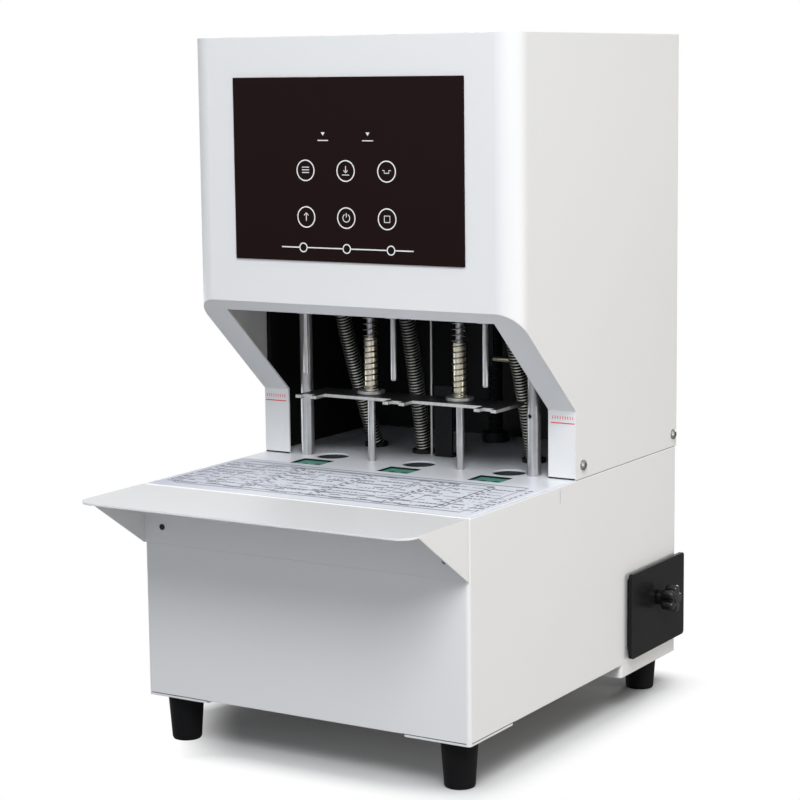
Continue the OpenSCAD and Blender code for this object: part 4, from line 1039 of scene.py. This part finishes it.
def layFloor(s):
    # pale floor, whiter to the camera, with a painted shadow darker close under the base from ambient occlusion
    # over the real shadow;
    # this fades to plain white with the distance from the base, and with the squared distance over a slanted line
    # on the left
    f = Finish("studio_floor")
    seen = f.node("ShaderNodeLightPath", output="Is Camera Ray")
    x, y, z = f.axes()
    halfX, halfY = (baseHigh.x - baseLow.x) / 2 / mm, (baseHigh.y - baseLow.y) / 2 / mm
    beside = (abs(x) - halfX).most(0.0)
    before = (abs(y - halfY) - halfY).most(0.0)
    away = (beside ** 2.0 + before ** 2.0) ** 0.5
    far = away / s["fade"]
    slant = x + y * s["leftSlant"]
    left = ((0 - slant - s["leftFrom"]) / (s["leftTo"] - s["leftFrom"])).most(0.0) ** 2.0
    openShare = far.most(left).least(1.0)
    # painted contact shadow: ambient occlusion under the base darkens the floor colour the camera sees
    clear = f.node("ShaderNodeAmbientOcclusion", {"samples": 16}, {"Distance": s["contact"]}, "AO")
    shade = f.ramp(clear, (s["contactFrom"], (s["contactTone"],) * 3), (s["contactTo"], (1, 1, 1)))
    tone = f.node("ShaderNodeVectorMath", {"operation": "SCALE"}, {0: shade, "Scale": s["floorSeen"]})
    wide = f.node("ShaderNodeBsdfDiffuse", None, {"Color": tone})
    white = f.node("ShaderNodeEmission", None, {"Strength": 1.0})
    plain = f.node("ShaderNodeBsdfDiffuse", None, {"Color": (s["floorTone"],) * 3 + (1.0,)})
    shown = f.node("ShaderNodeMixShader", None, {0: openShare, 1: wide, 2: white})
    both = f.node("ShaderNodeMixShader", None, {0: seen, 1: plain, 2: shown})
    f.node("ShaderNodeOutputMaterial", None, {"Surface": both})
    half = s["floorSize"] / 2
    mesh = bpy.data.meshes.new("studio_floor")
    corners = [(-half, -half, 0), (half, -half, 0), (half, half, 0), (-half, half, 0)]
    mesh.from_pydata(corners, [], [(0, 1, 2, 3)])
    mesh.materials.append(f.holder)
    floor = bpy.data.objects.new("studio_floor", mesh)
    bpy.context.scene.collection.objects.link(floor)


def lightWorld(s):
    # soft ambient light, and plain white wherever the camera, metal or gloss sees past the object
    world = bpy.data.worlds.new("studio_world")
    bpy.context.scene.world = world
    f = Finish("studio_world", world)
    camera, glossy, through = (f.node("ShaderNodeLightPath", output=k)
                               for k in ("Is Camera Ray", "Is Glossy Ray", "Is Transmission Ray"))
    seen = camera.most(glossy).most(through)
    tone = f.blend(seen, s["ambientTone"], (1.0, 1.0, 1.0))
    strength = s["ambient"] + (1 - s["ambient"]) * seen
    sky = f.node("ShaderNodeBackground", None, {"Color": tone, "Strength": strength})
    f.node("ShaderNodeOutputWorld", None, {"Surface": sky})


lamps = {
    "key": {"at": (1000, -1400, 1900), "to": (0, 80, 250), "size": (1.0, 1.0), "watts": 43.4,
            "tone": (0.98, 0.99, 1.0)},
    "top": {"at": (800, -500, 2300), "to": (0, -40, 200), "size": (0.8, 0.8), "watts": 10.0,
            "tone": (0.98, 0.99, 1.0)},
    "front_fill": {"at": (-100, -1900, 750), "to": (0, 0, 280), "size": (1.4, 1.0), "watts": 5.5,
                   "tone": (0.80, 0.90, 1.0)},
    "right_fill": {"at": (1300, 300, 180), "to": (140, 170, 180), "size": (1.2, 0.3), "watts": 5.6,
                   "tone": (1.0, 0.95, 0.87)},
    "left_fill": {"at": (-1300, 300, 95), "to": (-140, 170, 180), "size": (1.2, 0.16), "watts": 4.5,
                  "tone": (0.98, 0.99, 1.0)},
    "back_fill": {"at": (-90, 1700, 450), "to": (-20, 340, 280), "size": (0.4, 0.6), "watts": 7.0,
                  "tone": (0.98, 0.99, 1.0)},
}


def hangLamps():
    # each lamp stands at its place and its back points straight away from its target
    for name, s in lamps.items():
        data = bpy.data.lights.new(name, "AREA")
        data.shape, (data.size, data.size_y) = "RECTANGLE", s["size"]
        data.energy, data.color = s["watts"], s["tone"]
        lamp = bpy.data.objects.new(name, data)
        at, to = Vector(spot(*s["at"])), Vector(spot(*s["to"]))
        lamp.matrix_world = Matrix.Translation(at) @ (at - to).to_track_quat("Z", "Y").to_matrix().to_4x4()
        bpy.context.scene.collection.objects.link(lamp)


view = {"eye": (885.625, -1302.610, 503.045), "yaw": 0.5504, "pitch": 0.1472, "roll": -0.0119,
        "lens": 100.68, "sensor": 36.0, "clip": (0.05, 50.0)}


def setCamera(s):
    # right, up and back axes from the heading, the dip and the tilt of the picture
    yaw, pitch, roll = s["yaw"], s["pitch"], s["roll"]
    ahead = np.array([-math.sin(yaw) * math.cos(pitch), math.cos(yaw) * math.cos(pitch), -math.sin(pitch)])
    right = np.array([math.cos(yaw), math.sin(yaw), 0.0])
    up = np.cross(right, ahead)
    turnedRight = math.cos(roll) * right + math.sin(roll) * up
    turnedUp = math.cos(roll) * up - math.sin(roll) * right
    data = bpy.data.cameras.new("studio_camera")
    data.lens, data.sensor_width = s["lens"], s["sensor"]
    data.clip_start, data.clip_end = s["clip"]
    camera = bpy.data.objects.new("studio_camera", data)
    turn = np.eye(4)
    turn[:3, 0], turn[:3, 1], turn[:3, 2], turn[:3, 3] = turnedRight, turnedUp, -ahead, place(s["eye"])
    camera.matrix_world = Matrix(turn.tolist())
    bpy.context.scene.collection.objects.link(camera)
    bpy.context.scene.camera = camera


layFloor(studio)
lightWorld(studio)
hangLamps()
setCamera(view)
bpy.context.scene.view_settings.view_transform = "Standard"
print("studio set")
